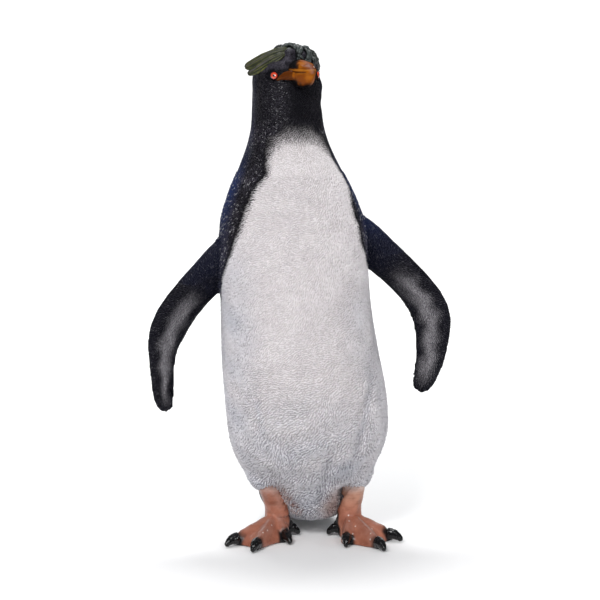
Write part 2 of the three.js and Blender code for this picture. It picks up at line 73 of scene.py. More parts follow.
class Sums:
    """A socket of a material, so that shader sums can be written as Python."""

    def __init__(self, socket):
        self.socket = socket

    def node(self, kind, settings=(), inputs=(), output=0):
        """Adds a node: its settings are set first, then the values or links of its sockets."""
        made = self.socket.id_data.nodes.new(kind)
        for key, value in dict(settings).items():
            setattr(made, key, value)
        for key, value in dict(inputs).items():
            if isinstance(value, Sums):
                self.socket.id_data.links.new(value.socket, made.inputs[key])
            else:
                made.inputs[key].default_value = value
        return Sums(made.outputs[output])

    def sum(self, operation, *others):
        return self.node("ShaderNodeMath", {"operation": operation}, enumerate((self, *others)))

    def __add__(self, other):
        return self.sum("ADD", other)

    def __mul__(self, other):
        return self.sum("MULTIPLY", other)

    def __sub__(self, other):
        return self.sum("SUBTRACT", other)

    def __rsub__(self, other):
        return (self * -1) + other

    __radd__ = __add__

    def between(self, low, high):
        """0 below low and 1 above high, with a soft step between them."""
        settings = {"interpolation_type": "SMOOTHSTEP"}
        inputs = {"Value": self, "From Min": min(low, high), "From Max": max(low, high)}
        step = self.node("ShaderNodeMapRange", settings, inputs)
        return step if low < high else 1 - step

    def mix(self, low, high):
        """Colour low where this is 0 and colour high where it is 1."""
        tones = [t if isinstance(t, Sums) else (*t, 1) for t in (low, high)]
        inputs = {0: self, 6: tones[0], 7: tones[1]}  # sockets of a colour mix: factor, first, second
        return self.node("ShaderNodeMix", {"data_type": "RGBA"}, inputs, 2)

    def noise(self, scale, detail=2.0, rough=0.5):
        inputs = {"Vector": self, "Scale": scale, "Detail": detail, "Roughness": rough}
        return self.node("ShaderNodeTexNoise", (), inputs)

    def feed(self, name):
        """Links this to that socket of the material's shader."""
        tree = self.socket.id_data
        tree.links.new(self.socket, tree.nodes["Principled BSDF"].inputs[name])


def coated(colour, *coats):
    """A colour under coats of others. Each coat says how far it covers, and its colour."""
    for cover, tone in coats:
        colour = cover.mix(colour, tone)
    return colour


def value_of(material, name):
    """A number stored on the mesh."""
    made = material.node_tree.nodes.new("ShaderNodeAttribute")
    made.attribute_name = name
    return Sums(made.outputs["Fac"])


bpy.ops.mesh.primitive_plane_add(size=2 * FLOOR_HALF)
floor = bpy.context.object
floor.name = "studio_floor"
bpy.ops.object.mode_set(mode="EDIT")
bpy.ops.mesh.select_all(action="SELECT")
bpy.ops.transform.translate(value=(0, SWEEP_BACK - FLOOR_HALF, 0))
bpy.ops.mesh.select_all(action="DESELECT")
bpy.ops.object.mode_set(mode="OBJECT")
for edge in floor.data.edges:
    edge.select = all(floor.data.vertices[v].co.y > SWEEP_BACK - 0.1 for v in edge.vertices)
bpy.ops.object.mode_set(mode="EDIT")
bpy.ops.mesh.select_mode(type="EDGE")
bpy.ops.mesh.spin(steps=SWEEP_STEPS, angle=-math.pi / 2, center=(0, SWEEP_BACK, SWEEP_ROUND), axis=(1, 0, 0))
bpy.ops.mesh.extrude_region_move(TRANSFORM_OT_translate={"value": (0, 0, SWEEP_HIGH)})
bpy.ops.object.mode_set(mode="OBJECT")
bpy.ops.object.shade_smooth()
paper, place = finish_of("studio_paper", rough=0.9)
place.noise(3.0).mix((0.89, 0.89, 0.89), (0.91, 0.91, 0.91)).feed("Base Color")
floor.data.materials.append(paper)

world = bpy.data.worlds.new("studio")
world.use_nodes = True
sky = world.node_tree.nodes["Background"]
sky.inputs["Color"].default_value = (0.93, 0.95, 1.0, 1)
sky.inputs["Strength"].default_value = 0.20
bpy.context.scene.world = world

# Each lamp's place, what it aims at, its power and size, and whether the varnish mirrors it.
CHEST = (0, 0, 0.28)
SWEEP = (0, 3.6, 0.6)
LAMPS = {
    "softbox_left": ((-1.15, -2.3, 2.15), CHEST, 64, 0.9, True),
    "softbox_front": ((0.2, -2.9, 1.0), CHEST, 13, 1.4, False),
    "strobe_right": ((2.4, -1.1, 1.0), CHEST, 6, 0.16, True),
    "strobe_front": ((0.75, -2.6, 1.5), CHEST, 10, 0.16, True),
    "sweep_light": ((0, 1.4, 3.2), SWEEP, 160, 2.0, True),
}
for name, (place, aim, power, size, mirrored) in LAMPS.items():
    bpy.ops.object.light_add(type="AREA", location=place)
    lamp = bpy.context.object
    lamp.name = name
    lamp.data.energy = power
    lamp.data.size = size
    lamp.visible_glossy = mirrored
    lamp.rotation_euler = (Vector(aim) - Vector(place)).to_track_quat("-Z", "Y").to_euler()

# The camera stands a little round to the statue's right, and looks slightly down at its middle.
VIEW_AZIMUTH = math.radians(-8)
VIEW_DISTANCE = 2.5
VIEW_FIELD = math.radians(15.1)
CAMERA_HEIGHT = 0.613
AIM_HEIGHT = 0.268
AIM_PLACE = Vector((0.0111, -0.0189, 0))
AIM_ASIDE = 0.0094
towards = Vector((math.sin(VIEW_AZIMUTH), -math.cos(VIEW_AZIMUTH), 0))
rightwards = Vector((math.cos(VIEW_AZIMUTH), math.sin(VIEW_AZIMUTH), 0))
stand = AIM_PLACE - AIM_ASIDE * rightwards
bpy.ops.object.camera_add(location=stand + VIEW_DISTANCE * towards + Vector((0, 0, CAMERA_HEIGHT)))
camera = bpy.context.object
camera.name = "studio_camera"
camera.data.angle = VIEW_FIELD
aim = stand + Vector((0, 0, AIM_HEIGHT))
camera.rotation_euler = (aim - camera.location).to_track_quat("-Z", "Y").to_euler()
bpy.context.scene.camera = camera
bpy.context.scene.view_settings.view_transform = "Standard"

# ---- body ----------------------------------------------------------------------------------------
# One hollow casting from the crown to the tail, with the flippers cast on, so no seam shows anywhere.
# It is white in front and nearly black behind, sprayed and then dry-brushed over the relief.

COAT_DEPTH = 0.0008  # the moulded feathers stand this far out of the casting
SKIN_VOXEL = 0.0021
GAP_FILL = 0.0004  # closes the hair gaps between the solids before they are made one
FLESH = ("head", "neck", "trunk", "tail", "flipper_right", "flipper_left", "thigh_right", "thigh_left")


def choose(piece):
    """Selects this piece alone and makes it the active one."""
    bpy.ops.object.select_all(action="DESELECT")
    piece.select_set(True)
    bpy.context.view_layer.objects.active = piece


def join(whole, piece):
    """Both as one object. The whole may still be None."""
    if whole is None:
        return piece
    choose(whole)
    piece.select_set(True)
    bpy.ops.object.join()
    return whole


def edit(piece, *tools):
    """Runs these tools of edit mode, each with its settings, on all faces of a piece."""
    choose(piece)
    bpy.ops.object.mode_set(mode="EDIT")
    bpy.ops.mesh.select_all(action="SELECT")
    for tool, settings in tools:
        tool(**settings)
    bpy.ops.object.mode_set(mode="OBJECT")


def merged_copy(name, nodes):
    """One new object from the solids of these nodes, whose faces remember their node."""
    bpy.ops.object.select_all(action="DESELECT")
    made = []
    for index, node in enumerate(nodes):
        copy = bpy.data.objects.new(name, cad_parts[node].data.copy())
        bpy.context.scene.collection.objects.link(copy)
        copy.data.materials.clear()
        origin = copy.data.attributes.new("node", "INT", "FACE")
        origin.data.foreach_set("value", [index] * len(copy.data.polygons))
        copy.select_set(True)
        made.append(copy)
    bpy.context.view_layer.objects.active = made[0]
    if len(made) > 1:
        bpy.ops.object.join()
    made[0].name = name
    edit(made[0], (bpy.ops.mesh.remove_doubles, {"threshold": 1e-6}))
    return made[0]


def modify(piece, kind, **settings):
    """Puts a modifier on a piece and applies it."""
    bpy.context.view_layer.objects.active = piece
    bpy.ops.object.modifier_add(type=kind)
    modifier = piece.modifiers[-1]
    for key, value in settings.items():
        setattr(modifier, key, value)
    bpy.ops.object.modifier_apply(modifier=modifier.name)


def read_rows(items, what, width=3, kind=float):
    """That property of a mesh's vertices, faces or corners, a row for each."""
    flat = np.empty(len(items) * width, kind)
    items.foreach_get(what, flat)
    return flat.reshape(-1, width)


def read_points(piece):
    return read_rows(piece.data.vertices, "co")


def surface(piece):
    """The piece's vertices and their normals, as rows of x, y, z."""
    return read_points(piece), read_rows(piece.data.vertices, "normal")


def move_points(piece, points):
    piece.data.vertices.foreach_set("co", np.ascontiguousarray(points).ravel())
    piece.data.update()


def store(piece, **numbers):
    """Stores numbers by their names, one of each for each vertex."""
    for name, values in numbers.items():
        made = piece.data.attributes.new(name, "FLOAT", "POINT")
        made.data.foreach_set("value", np.asarray(values, np.float32))


def step(values, low, high):
    """0 below low and 1 above high, with a soft step between them."""
    share = np.clip((values - low) / (high - low), 0, 1)
    return share * share * (3 - 2 * share)


def bump(values, middle, half):
    """1 at the middle, falling softly to 0 at half a width from it."""
    return 1 - step(np.abs(values - middle), 0, half)


def waves(points, length, seed, count=9):
    """Smooth unevenness of that wave length, mostly within -1 and 1."""
    chance = np.random.default_rng(seed)
    total = np.zeros(len(points))
    for _ in range(count):
        direction = chance.normal(size=3)
        direction *= 2 * math.pi / (length * np.linalg.norm(direction) * chance.uniform(0.7, 1.5))
        total += np.sin(points @ direction + chance.uniform(0, 2 * math.pi))
    return total / math.sqrt(count)


def weigh(piece, name, weights):
    """A vertex group with these weights, to one decimal place."""
    group = piece.vertex_groups.new(name=name)
    levels = np.round(np.asarray(weights, float), 1)
    for level in np.unique(levels):
        group.add(np.flatnonzero(levels == level).tolist(), float(level), "REPLACE")


def unit(vectors):
    return vectors / np.maximum(np.linalg.norm(vectors, axis=-1, keepdims=True), 1e-9)


def centre(name):
    low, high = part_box(name)
    return np.array((low + high) / 2)


# The head's own directions, from its two eyes.
TURNS = {"right": -1, "left": 1}
EYES_AHEAD = 0.0232  # how far the eyes are in front of the head's centre, in metres
eye_places = {side: centre("eye_" + side) for side in TURNS}
leftwards = unit(eye_places["left"] - eye_places["right"])
ahead = np.cross(leftwards, (0, 0, 1))
head_centre = (eye_places["left"] + eye_places["right"]) / 2 - EYES_AHEAD * ahead


def on_head(points):
    """Distances ahead, to the left and up from the head's centre, in millimetres."""
    away = (points - head_centre) * 1000
    return away @ ahead, away @ leftwards, away[:, 2]


solids = merged_copy("body_solids", FLESH)
solid_tree = BVHTree.FromObject(solids, bpy.context.evaluated_depsgraph_get())
node_of_face = read_rows(solids.data.attributes["node"].data, "value", 1, int)[:, 0]


def nodes_at(points):
    """The index in FLESH of the node that each point lies nearest to."""
    return np.array([node_of_face[solid_tree.find_nearest(p)[2]] for p in points])


bpy.ops.object.select_all(action="DESELECT")
skin = solids
skin.name = "body_skin"
modify(skin, "DISPLACE", strength=GAP_FILL, mid_level=0)
modify(skin, "REMESH", mode="VOXEL", voxel_size=SKIN_VOXEL, use_smooth_shade=True)
node_at = nodes_at(read_points(skin))
# How far each node's shape is eased into its neighbours'. The flippers' stays as it is.
EASE = {"head": 0.3, "neck": 1, "trunk": 1, "tail": 0.3, "thigh_right": 1, "thigh_left": 1}
weigh(skin, "ease", np.array([EASE.get(name, 0) for name in FLESH])[node_at])
modify(skin, "SMOOTH", factor=0.5, iterations=40, vertex_group="ease")
modify(skin, "SMOOTH", factor=0.5, iterations=3)

# Easing thins the flippers' edges, so they are drawn out again in the blades' own plane.
EDGE_PUT_BACK = 0.0016
BODY_PUT_BACK = 0.0004
on_flipper = np.isin(node_at, [FLESH.index("flipper_right"), FLESH.index("flipper_left")])
points, facing = surface(skin)
points += facing * (BODY_PUT_BACK - COAT_DEPTH)
points[on_flipper] += (facing * (1, 0, 1) * EDGE_PUT_BACK)[on_flipper]
move_points(skin, points)


def subdivide(piece, chosen):
    """Divides the chosen faces once more, rounded to the surface."""
    choose(piece)
    piece.data.polygons.foreach_set("select", chosen.tolist())
    bpy.ops.object.mode_set(mode="EDIT")
    bpy.ops.mesh.select_mode(type="FACE")
    bpy.ops.mesh.subdivide(number_cuts=1, smoothness=1.0)
    bpy.ops.object.mode_set(mode="OBJECT")


def from_line(points, start, end):
    """Distances from a straight line between two places."""
    start, end = np.array(start, float), np.array(end, float)
    share = np.clip((points - start) @ (end - start) / ((end - start) @ (end - start)), 0, 1)
    return np.linalg.norm(points - start - share[:, None] * (end - start), axis=1)


def on_line(points, line, half):
    """1 on a straight line, falling softly to 0 at half a width from it."""
    return bump(from_line(points, *line), 0, half)


def on_face(points):
    """Millimetres aside, ahead and up from the head's centre, the same for both sides."""
    forward, left, height = on_head(points)
    return np.stack((np.abs(left), forward, height), 1)


# The brow, the lores, the lids and the cheeks are modelled on the head. The places are millimetres
# aside, ahead and up from its centre, and the surface is made finer there first.
EYE = (23.2, 23.2, 1.8)
EYE_AXIS = unit(np.array((0.62, 0.78, 0.05)))
BROW = ((30, 10, 10.5), (15, 29, 15.5))
LORES = ((19, 28, 3.5), (11.5, 31, 15))
FOREHEAD = ((15, 29, 15.5), (5, 24.5, 28))
HEAD_FROM = 0.474  # metres above the floor
ROUND_EYE = 13  # millimetres
FAR_OFF = 99


def from_brow(face):
    """Millimetres from the brow and from the forehead's ridge, whichever is nearer."""
    return np.minimum(from_line(face, *BROW), from_line(face, *FOREHEAD))


subdivide(skin, read_rows(skin.data.polygons, "center")[:, 2] > HEAD_FROM)
middles = on_face(read_rows(skin.data.polygons, "center"))
subdivide(skin, np.linalg.norm(middles - EYE, axis=1) < ROUND_EYE)
modify(skin, "SMOOTH", factor=0.4, iterations=2)
points, facing = surface(skin)
local = on_face(points)
out = (local - EYE) @ EYE_AXIS
from_eye = np.linalg.norm(local - EYE - out[:, None] * EYE_AXIS, axis=1)
from_eye[(out < -3) | (local[:, 2] < -30)] = FAR_OFF
lift = np.maximum(1.9 * on_line(local, BROW, 8), 1.2 * on_line(local, FOREHEAD, 8))
lift -= 1.3 * on_line(local, LORES, 3.6)
lift += 1.5 * bump(from_eye, 6.3, 2.4) - 2.2 * (1 - step(from_eye, 3.0, 4.6))
lift += 0.5 * waves(points, 0.012, 61) * step(points[:, 2], 0.50, 0.53) * step(from_eye, 7, 9)
to_left = on_head(points)[1]
cheek = 2.9 * on_line(local, ((30, 14, -10), (37, -2, -14)), 10)
cheek -= 1.6 * on_line(local, ((26, 18, -30), (38, -4, -30)), 11)
lift += cheek * (to_left > 0)
lift += 1.5 * on_line(local, ((36, -14, 6), (38, -4, -8)), 13) * (to_left < 0)
points += facing * lift[:, None] / 1000
# The lids are drawn in over the eye.
pull = 0.9 * bump(from_eye, 6.2, 2.6)
inwards = (local - EYE) - out[:, None] * EYE_AXIS
inwards = -unit(inwards) * pull[:, None] / 1000
sides = np.sign(on_head(points)[1])
points += inwards[:, :1] * sides[:, None] * leftwards + inwards[:, 1:2] * ahead + inwards[:, 2:] * (0, 0, 1)

# Low on the belly the feathering lies in soft folds, with a hollow beside each leg: its place aside
# and up, and its depth.
HOLLOWS = ((-0.031, 0.053, 0.013), (0.046, 0.055, 0.018))
# Creases in it, seen from in front: a line's two ends, the depth and half the width.
CREASES = (
    (((-0.0546, 0, 0.166), (-0.0500, 0, 0.140)), 0.0020, 0.009),
    (((-0.0500, 0, 0.140), (-0.0430, 0, 0.108)), 0.0022, 0.009),
    (((-0.0400, 0, 0.082), (-0.0226, 0, 0.059)), 0.0020, 0.008),
    (((-0.0226, 0, 0.059), (-0.0069, 0, 0.036)), 0.0020, 0.009),
    (((0.0240, 0, 0.100), (0.0180, 0, 0.046)), 0.0034, 0.011),
    (((0.0720, 0, 0.196), (0.0640, 0, 0.145)), 0.0022, 0.010),
    (((0.0640, 0, 0.145), (0.0540, 0, 0.106)), 0.0024, 0.010),
)
RUSTY = ((-0.0240, 0, 0.060), (-0.0040, 0, 0.034))  # a rusty stain along the lower belly


def creased(points):
    """How deep the creases are at each point, in metres."""
    deep = [depth * on_line(points * (1, 0, 1), line, half) for line, depth, half in CREASES]
    return np.max(deep, axis=0) * (points[:, 1] < 0)


FOLD_DEPTH = 0.0015
folds = 1 - step(points[:, 2], 0.13, 0.24)
folds *= step(points[:, 2], 0.015, 0.03) * step(-facing[:, 1], 0.05, 0.5)
folded = waves(points * (1, 1, 1.6), 0.048, 62) + 0.6 * waves(points * (1, 1, 1.4), 0.024, 63)
points -= facing * (FOLD_DEPTH * folds * (1.2 + folded) + creased(points))[:, None]
for x, z, deep in HOLLOWS:
    near = np.hypot(points[:, 0] - x, (points[:, 2] - z) * 0.9)
    points[:, 1] += deep * bump(near, 0, 0.015) * (points[:, 1] < 0)
move_points(skin, points)
node_at = nodes_at(read_points(skin))


MIDLINE_POINTS = 40
AT_ONCE = 4096  # points measured at one time, to spare memory


def midline(name, bends):
    """Points down the middle of a flipper, seen from in front, with its half width and direction there.
    It starts from a few bends, as shares of the flipper's box, and is centred three times over."""
    outline = read_points(skin)[node_at == FLESH.index(name)][:, [0, 2]]
    low, high = outline.min(0), outline.max(0)
    line = low + np.array(bends) * (high - low)
    for _ in range(3):
        lengths = np.concatenate(([0], np.cumsum(np.linalg.norm(np.diff(line, axis=0), axis=1))))
        spread = np.linspace(0, lengths[-1], MIDLINE_POINTS)
        line = np.stack([np.interp(spread, lengths, line[:, k]) for k in (0, 1)], 1)
        along = unit(np.gradient(line, axis=0))
        across = np.stack((along[:, 1], -along[:, 0]), 1)
        half = np.full(len(line), 0.01)
        for k, here in enumerate(line):
            away = outline - here
            near = np.abs(away @ along[k]) < 0.004
            reach = (away @ across[k])[near]
            reach = reach[np.abs(reach) < 0.045]
            if len(reach) > 3:
                line[k] = here + across[k] * (reach.max() + reach.min()) / 2
                half[k] = (reach.max() - reach.min()) / 2
    return line, half, along


BLADES = {
    "flipper_right": midline("flipper_right", [(0.95, 0.82), (0.25, 0.5), (0.14, 0.2), (0.17, 0)]),
    "flipper_left": midline("flipper_left", [(0.05, 0.82), (0.7, 0.5), (0.86, 0.25), (0.75, 0)]),
}


def on_blade(name, points):
    """How far along a flipper (0 to 1), how far across it (1 at the leading edge), and its direction."""
    line, half, along = BLADES[name]
    nearest = np.empty(len(points), int)
    for first in range(0, len(points), AT_ONCE):
        flat = points[first : first + AT_ONCE, [0, 2]]
        gaps = np.linalg.norm(flat[:, None] - line[None], axis=2)
        nearest[first : first + AT_ONCE] = gaps.argmin(1)
    outwards = np.sign(line[-1, 0] - line[0, 0])
    side = np.stack((along[nearest, 1], -along[nearest, 0]), 1) * -outwards
    across = ((points[:, [0, 2]] - line[nearest]) * side).sum(1) / half[nearest]
    direction = np.stack((along[nearest, 0], np.zeros(len(points)), along[nearest, 1]), 1)
    return nearest / (len(line) - 1), across, direction


# The edge of the white bib: a height in metres, and how far round the body it reaches to the statue's
# right and left there, in degrees from straight ahead.
BIB = np.array([
    (0.020, 140, 140), (0.100, 118, 118), (0.240, 100, 100), (0.290, 82, 86), (0.315, 68, 70),
    (0.340, 57, 58), (0.365, 49, 57), (0.380, 48, 60), (0.392, 44, 66), (0.415, 32, 65),
    (0.440, 36, 58), (0.452, 30, 48), (0.461, 6, 30),
])
BIB_TOP = 0.461
# The body's own axis: a height, and the place of the axis there.
AXIS = np.array([
    (0.04, 0.013, 0.000), (0.10, 0.011, -0.013), (0.17, 0.006, -0.024), (0.26, -0.004, -0.027),
    (0.35, -0.008, -0.025), (0.41, -0.010, -0.020), (0.46, -0.012, -0.016), (0.55, -0.013, -0.015),
])


def round_body(points):
    """Degrees round the body's axis, 0 straight ahead and positive to the statue's left, and the radius."""
    x, y = (np.interp(points[:, 2], AXIS[:, 0], AXIS[:, k]) for k in (1, 2))
    out = np.hypot(points[:, 0] - x, points[:, 1] - y)
    return np.degrees(np.arctan2(points[:, 0] - x, y - points[:, 1])), out


def markings(points, facing, node):
    """How white, grey, blue, dry-brushed and rusty the paint is at each point, from 0 to 1, and how far
    painted shade (at the throat, the bib's grey spray) darkens it, on the skin and on the strokes alike."""
    degrees, out = round_body(points)
    height = points[:, 2]
    right, left = (np.interp(height, BIB[:, 0], BIB[:, k]) for k in (1, 2))
    inside = np.radians(np.minimum(degrees + right, left - degrees)) * out
    inside = np.minimum(inside, BIB_TOP - height) + 0.0010 * waves(points, 0.018, 5)
    throat = step(height, 0.425, 0.455)
    white = step(inside, -0.0045 - 0.004 * throat, 0.0055 + 0.030 * throat)
    dry = step(-inside, 0.002, 0.010) * (0.75 + 0.25 * waves(points, 0.03, 7))
    headed = step(height, 0.45, 0.48)
    face = on_face(points)
    # The brow and the forehead's ridge are brushed grey as a painted highlight.
    brow = bump(from_brow(face), 0, 13) * step(face[:, 1], -5, 8)
    lores = on_line(face, LORES, 5)
    ringed = 1 - step(np.linalg.norm(face - EYE, axis=1), 7.5, 10)
    # The cheeks are dry-brushed more, and so carry more painted glints.
    spotted = 0.55 * bump(face[:, 0], 22, 16) * bump(height, 0.492, 0.035)
    front = bump(face[:, 0], 0, 20) * (face[:, 1] > 0)
    dry = dry * (1 - headed) + headed * (0.32 + spotted - 0.28 * front)
    dry = np.maximum(dry, 0.7 * brow) * (1 - lores) * (1 - ringed)
    # The head's left side gets less dry-brushing and fewer glints, so it stays darker: painted shade on the
    # side away from the light.
    dry *= 1 - 0.6 * headed * step(on_head(points)[1], 0, 18)
    bladed, grey = np.zeros((2, len(points)))
    for name in BLADES:
        here = node == FLESH.index(name)
        if here.any():
            along, across, _ = on_blade(name, points[here])
            inner = step(-facing[here, 1], 0.2, 0.6)
            edge = 0.10 * waves(points[here], 0.02, 6)
            middle = bump(across + edge + 0.14, 0, 0.62 if name == "flipper_right" else 0.72)
            grey[here] = middle * step(along, 0.16, 0.36) * (1 - step(along, 0.82, 1)) * inner
            bladed[here] = step(along, 0.0, 0.25)
            dry[here] = 0.35
    white *= 1 - bladed
    white[node == FLESH.index("tail")] *= 0
    behind = step(np.abs(degrees), 85, 125)
    dry *= 1 - 0.55 * behind * (1 - headed)
    blue = 0.2 + 0.8 * bump(height, 0.388, 0.06) * (1 - 0.75 * behind)
    blue += 0.4 * behind * bump(height, 0.33, 0.26)
    blue *= step(np.abs(degrees), 60, 80) * (1 - white) * (1 - 0.85 * bladed)
    # Painted shade: the white is darkened low on the belly, round its sides and in the creases; at the
    # throat the same darkening stands for the grey spray at the top of the bib.
    low = 0.6 * (1 - step(height, 0.08, 0.21)) + 0.4 * (1 - step(height, 0.03, 0.085))
    low = np.maximum(low, 0.45 * step(degrees, 15, 60) * (1 - step(height, 0.24, 0.34)))
    low = np.maximum(low, 0.60 * step(-degrees, 25, 65) * (1 - step(height, 0.28, 0.38)))
    wash = np.maximum(low, 0.7 * step(height, 0.39, 0.45)) + 0.3 * waves(points, 0.05, 8) * low
    wash = np.maximum(wash, 0.6 * step(creased(points), 0, 0.0024))
    rust = on_line(points * (1, 0, 1), RUSTY, 0.011) * (points[:, 1] < 0)
    rust *= step(waves(points, 0.006, 9), -1.0, 0.4)
    for x, z, _ in HOLLOWS:
        near = np.hypot(points[:, 0] - x * 0.8, (points[:, 2] - z + 0.016) * 0.5)
        rust = np.maximum(rust, bump(near, 0, 0.020) * (points[:, 1] < 0))
    dry, wash = np.clip((dry, wash), 0, 1)
    return {"white": white, "grey": grey, "blue": blue, "dry": dry, "wash": wash, "rust": rust}


points, facing = surface(skin)
# The skin between the strokes takes the grooves' painted shade; along the brow and the forehead's ridge it
# is left bare and brushed grey, a painted highlight.
browed = (1 - step(from_brow(on_face(points)), 5, 12)) * (points[:, 2] > 0.5)
store(skin, **markings(points, facing, node_at), ridge=0.18 + 0.82 * browed)

relief, place = finish_of("relief_paint", specular=0.08)
ridge, tint, white = (value_of(relief, name) for name in ("ridge", "tint", "white"))
wash, rust, dry = (value_of(relief, name) for name in ("wash", "rust", "dry"))
mottle = place.noise(28.0, 3.0, 0.6)
fleck = place.noise(420.0, 2.0, 0.7)
high_up = place.node("ShaderNodeSeparateXYZ", (), {"Vector": place}, 2).between(0.30, 0.40)

# The white paint: warm, greyer and bluer low down as painted shade, brownish at the throat, and painted
# darker in the grooves as their shade.
cream = coated(
    mottle.between(0.35, 0.65).mix((0.77, 0.73, 0.75), (0.82, 0.785, 0.80)),
    (wash * (1 - high_up), (0.66, 0.66, 0.71)),
    (rust * 0.7, (0.40, 0.24, 0.19)),
)
shade = coated(
    (0.38, 0.35, 0.345),
    (wash, high_up.mix((0.05, 0.055, 0.09), (0.12, 0.10, 0.08))),
    (rust, (0.11, 0.035, 0.020)),
)
pale = (ridge.between(-0.07, 0.44) * 0.9 + tint * 0.1).sum("MINIMUM", 1.0).mix(shade, cream)

# The dark paint: charcoal or navy, dry-brushed on the ridges, with a few painted glints of white on the
# stroke tops.
worn = ridge.between(0.35, 1.0) * fleck.between(0.25, 0.65) * (dry * 0.95 + 0.05)
charcoal = (worn + tint * 0.05).mix((0.002, 0.002, 0.0035), (0.090, 0.082, 0.105))
navy = (worn * 0.6 + 0.3).mix((0.004, 0.006, 0.017), (0.026, 0.045, 0.15))
brushed = (ridge * 0.8 + 0.1 + tint * 0.2).mix((0.014, 0.013, 0.016), (0.40, 0.385, 0.41))
dark = coated(
    charcoal,
    (value_of(relief, "blue"), navy),
    # Painted highlights: pale glints on the tops of a few dry-brushed strokes.
    (tint.between(0.6, 0.95) * ridge.between(0.75, 1.0) * dry.between(0.1, 0.8), (0.62, 0.62, 0.64)),
    (value_of(relief, "grey"), brushed),
)

# Where white meets dark, the spray catches the ridges first.
sprayed = (white + (ridge - 0.5 + tint * 0.15) * white * (1 - white) * 2.4).sum("MAXIMUM", 0.0)
sprayed.sum("MINIMUM", 1.0).mix(dark, pale).feed("Base Color")
(0.32 + white * 0.2 + fleck * 0.08).feed("Roughness")
wrinkled = {"Strength": 0.8, "Distance": 0.0024, "Height": place.noise(270.0, 2.0, 0.6)}
place.node("ShaderNodeBump", (), wrinkled).feed("Normal")
skin.data.materials.append(relief)
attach(skin, "root")
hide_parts(*FLESH)

# ---- moulded feathers ----------------------------------------------------------------------------
# The feathering is modelled in the clay as short raised strokes and comes out of the mould with the
# casting. The strokes follow the lie of the feathers and swirl a little, and are finest on the head.

MOST_IN_A_PIECE = 10500  # strokes, of 18 triangles each
TRIES = 5  # for each stroke that there is room for
STROKE_PLACES = (0, 0.3, 0.65, 0.92, 1)  # along a stroke: its root, three rings and its tip
RING_WIDTHS = (0.75, 1, 0.7)
RING_HEIGHTS = (0.65, 1, 0.6)
TIP_HEIGHT = 0.05
GROOVE, TIP = 0.05, 0.5  # the ridge value in the grooves and at the tip; it is 1 on the ridge
SINK = 0.00025  # how far a stroke's edges sit in the skin
PATCH = 0.0015  # half the size of a stroke's place on the bake's map
NEAR_GROUND = 0.004

# Half the width, the length and the height of a stroke, and the room it takes, in millimetres.
STROKES = {
    "head": (0.65, 1.9, 0.45, 1.0),
    "neck": (0.85, 2.5, 0.6, 1.3),
    "body": (1.0, 4.0, 1.6, 1.68),
    "blade": (0.8, 2.8, 0.5, 1.35),
    "tail": (0.9, 7.0, 0.5, 1.8),
}
KINDS = tuple(STROKES)
KIND_OF_NODE = np.array([
    KINDS.index(kind) for kind in ("head", "neck", "body", "tail", "blade", "blade", "body", "body")
])


def sizes_at(points, node):
    """Half the width, the length, the height and the room of a stroke at each point, in metres."""
    kind = KIND_OF_NODE[node]
    sizes = np.array([STROKES[k] for k in KINDS])[kind] / 1000
    # Low on the belly the strokes are larger and deeper.
    belly = (kind == KINDS.index("body")) * (1 - step(points[:, 2], 0.09, 0.25))
    return sizes * (1 + belly[:, None] * np.array((0.35, 0.25, 0.5, 0.4)))


skin_tree = BVHTree.FromObject(skin, bpy.context.evaluated_depsgraph_get())


def scatter(seed):
    """Even random places on the skin, each with room round it, and the skin's normal there."""
    chance = np.random.default_rng(seed)
    skin.data.calc_loop_triangles()
    corners = read_rows(skin.data.loop_triangles, "vertices", 3, int)
    points, facing = surface(skin)
    a, b, c = (points[corners[:, k]] for k in range(3))
    area = np.linalg.norm(np.cross(b - a, c - a), axis=1) / 2
    room = sizes_at(a, node_at[corners[:, 0]])[:, 3]
    weight = area / room**2
    count = int(TRIES * weight.sum())
    chosen = chance.choice(len(corners), count, p=weight / weight.sum())
    u, v = chance.random((2, count))
    over = u + v > 1
    u[over], v[over] = 1 - u[over], 1 - v[over]
    shares = np.stack((1 - u - v, u, v), 1)[:, :, None]
    places = (points[corners[chosen]] * shares).sum(1)
    normals = unit((facing[corners[chosen]] * shares).sum(1))
    tree = KDTree(count)
    for index, place in enumerate(places):
        tree.insert(place, index)
    tree.balance()
    free = np.ones(count, bool)
    kept = []
    for index in range(count):
        if free[index]:
            kept.append(index)
            for _, other, _ in tree.find_range(places[index], room[chosen[index]]):
                free[other] = False
    return places[kept], normals[kept], corners[chosen[kept], 0]


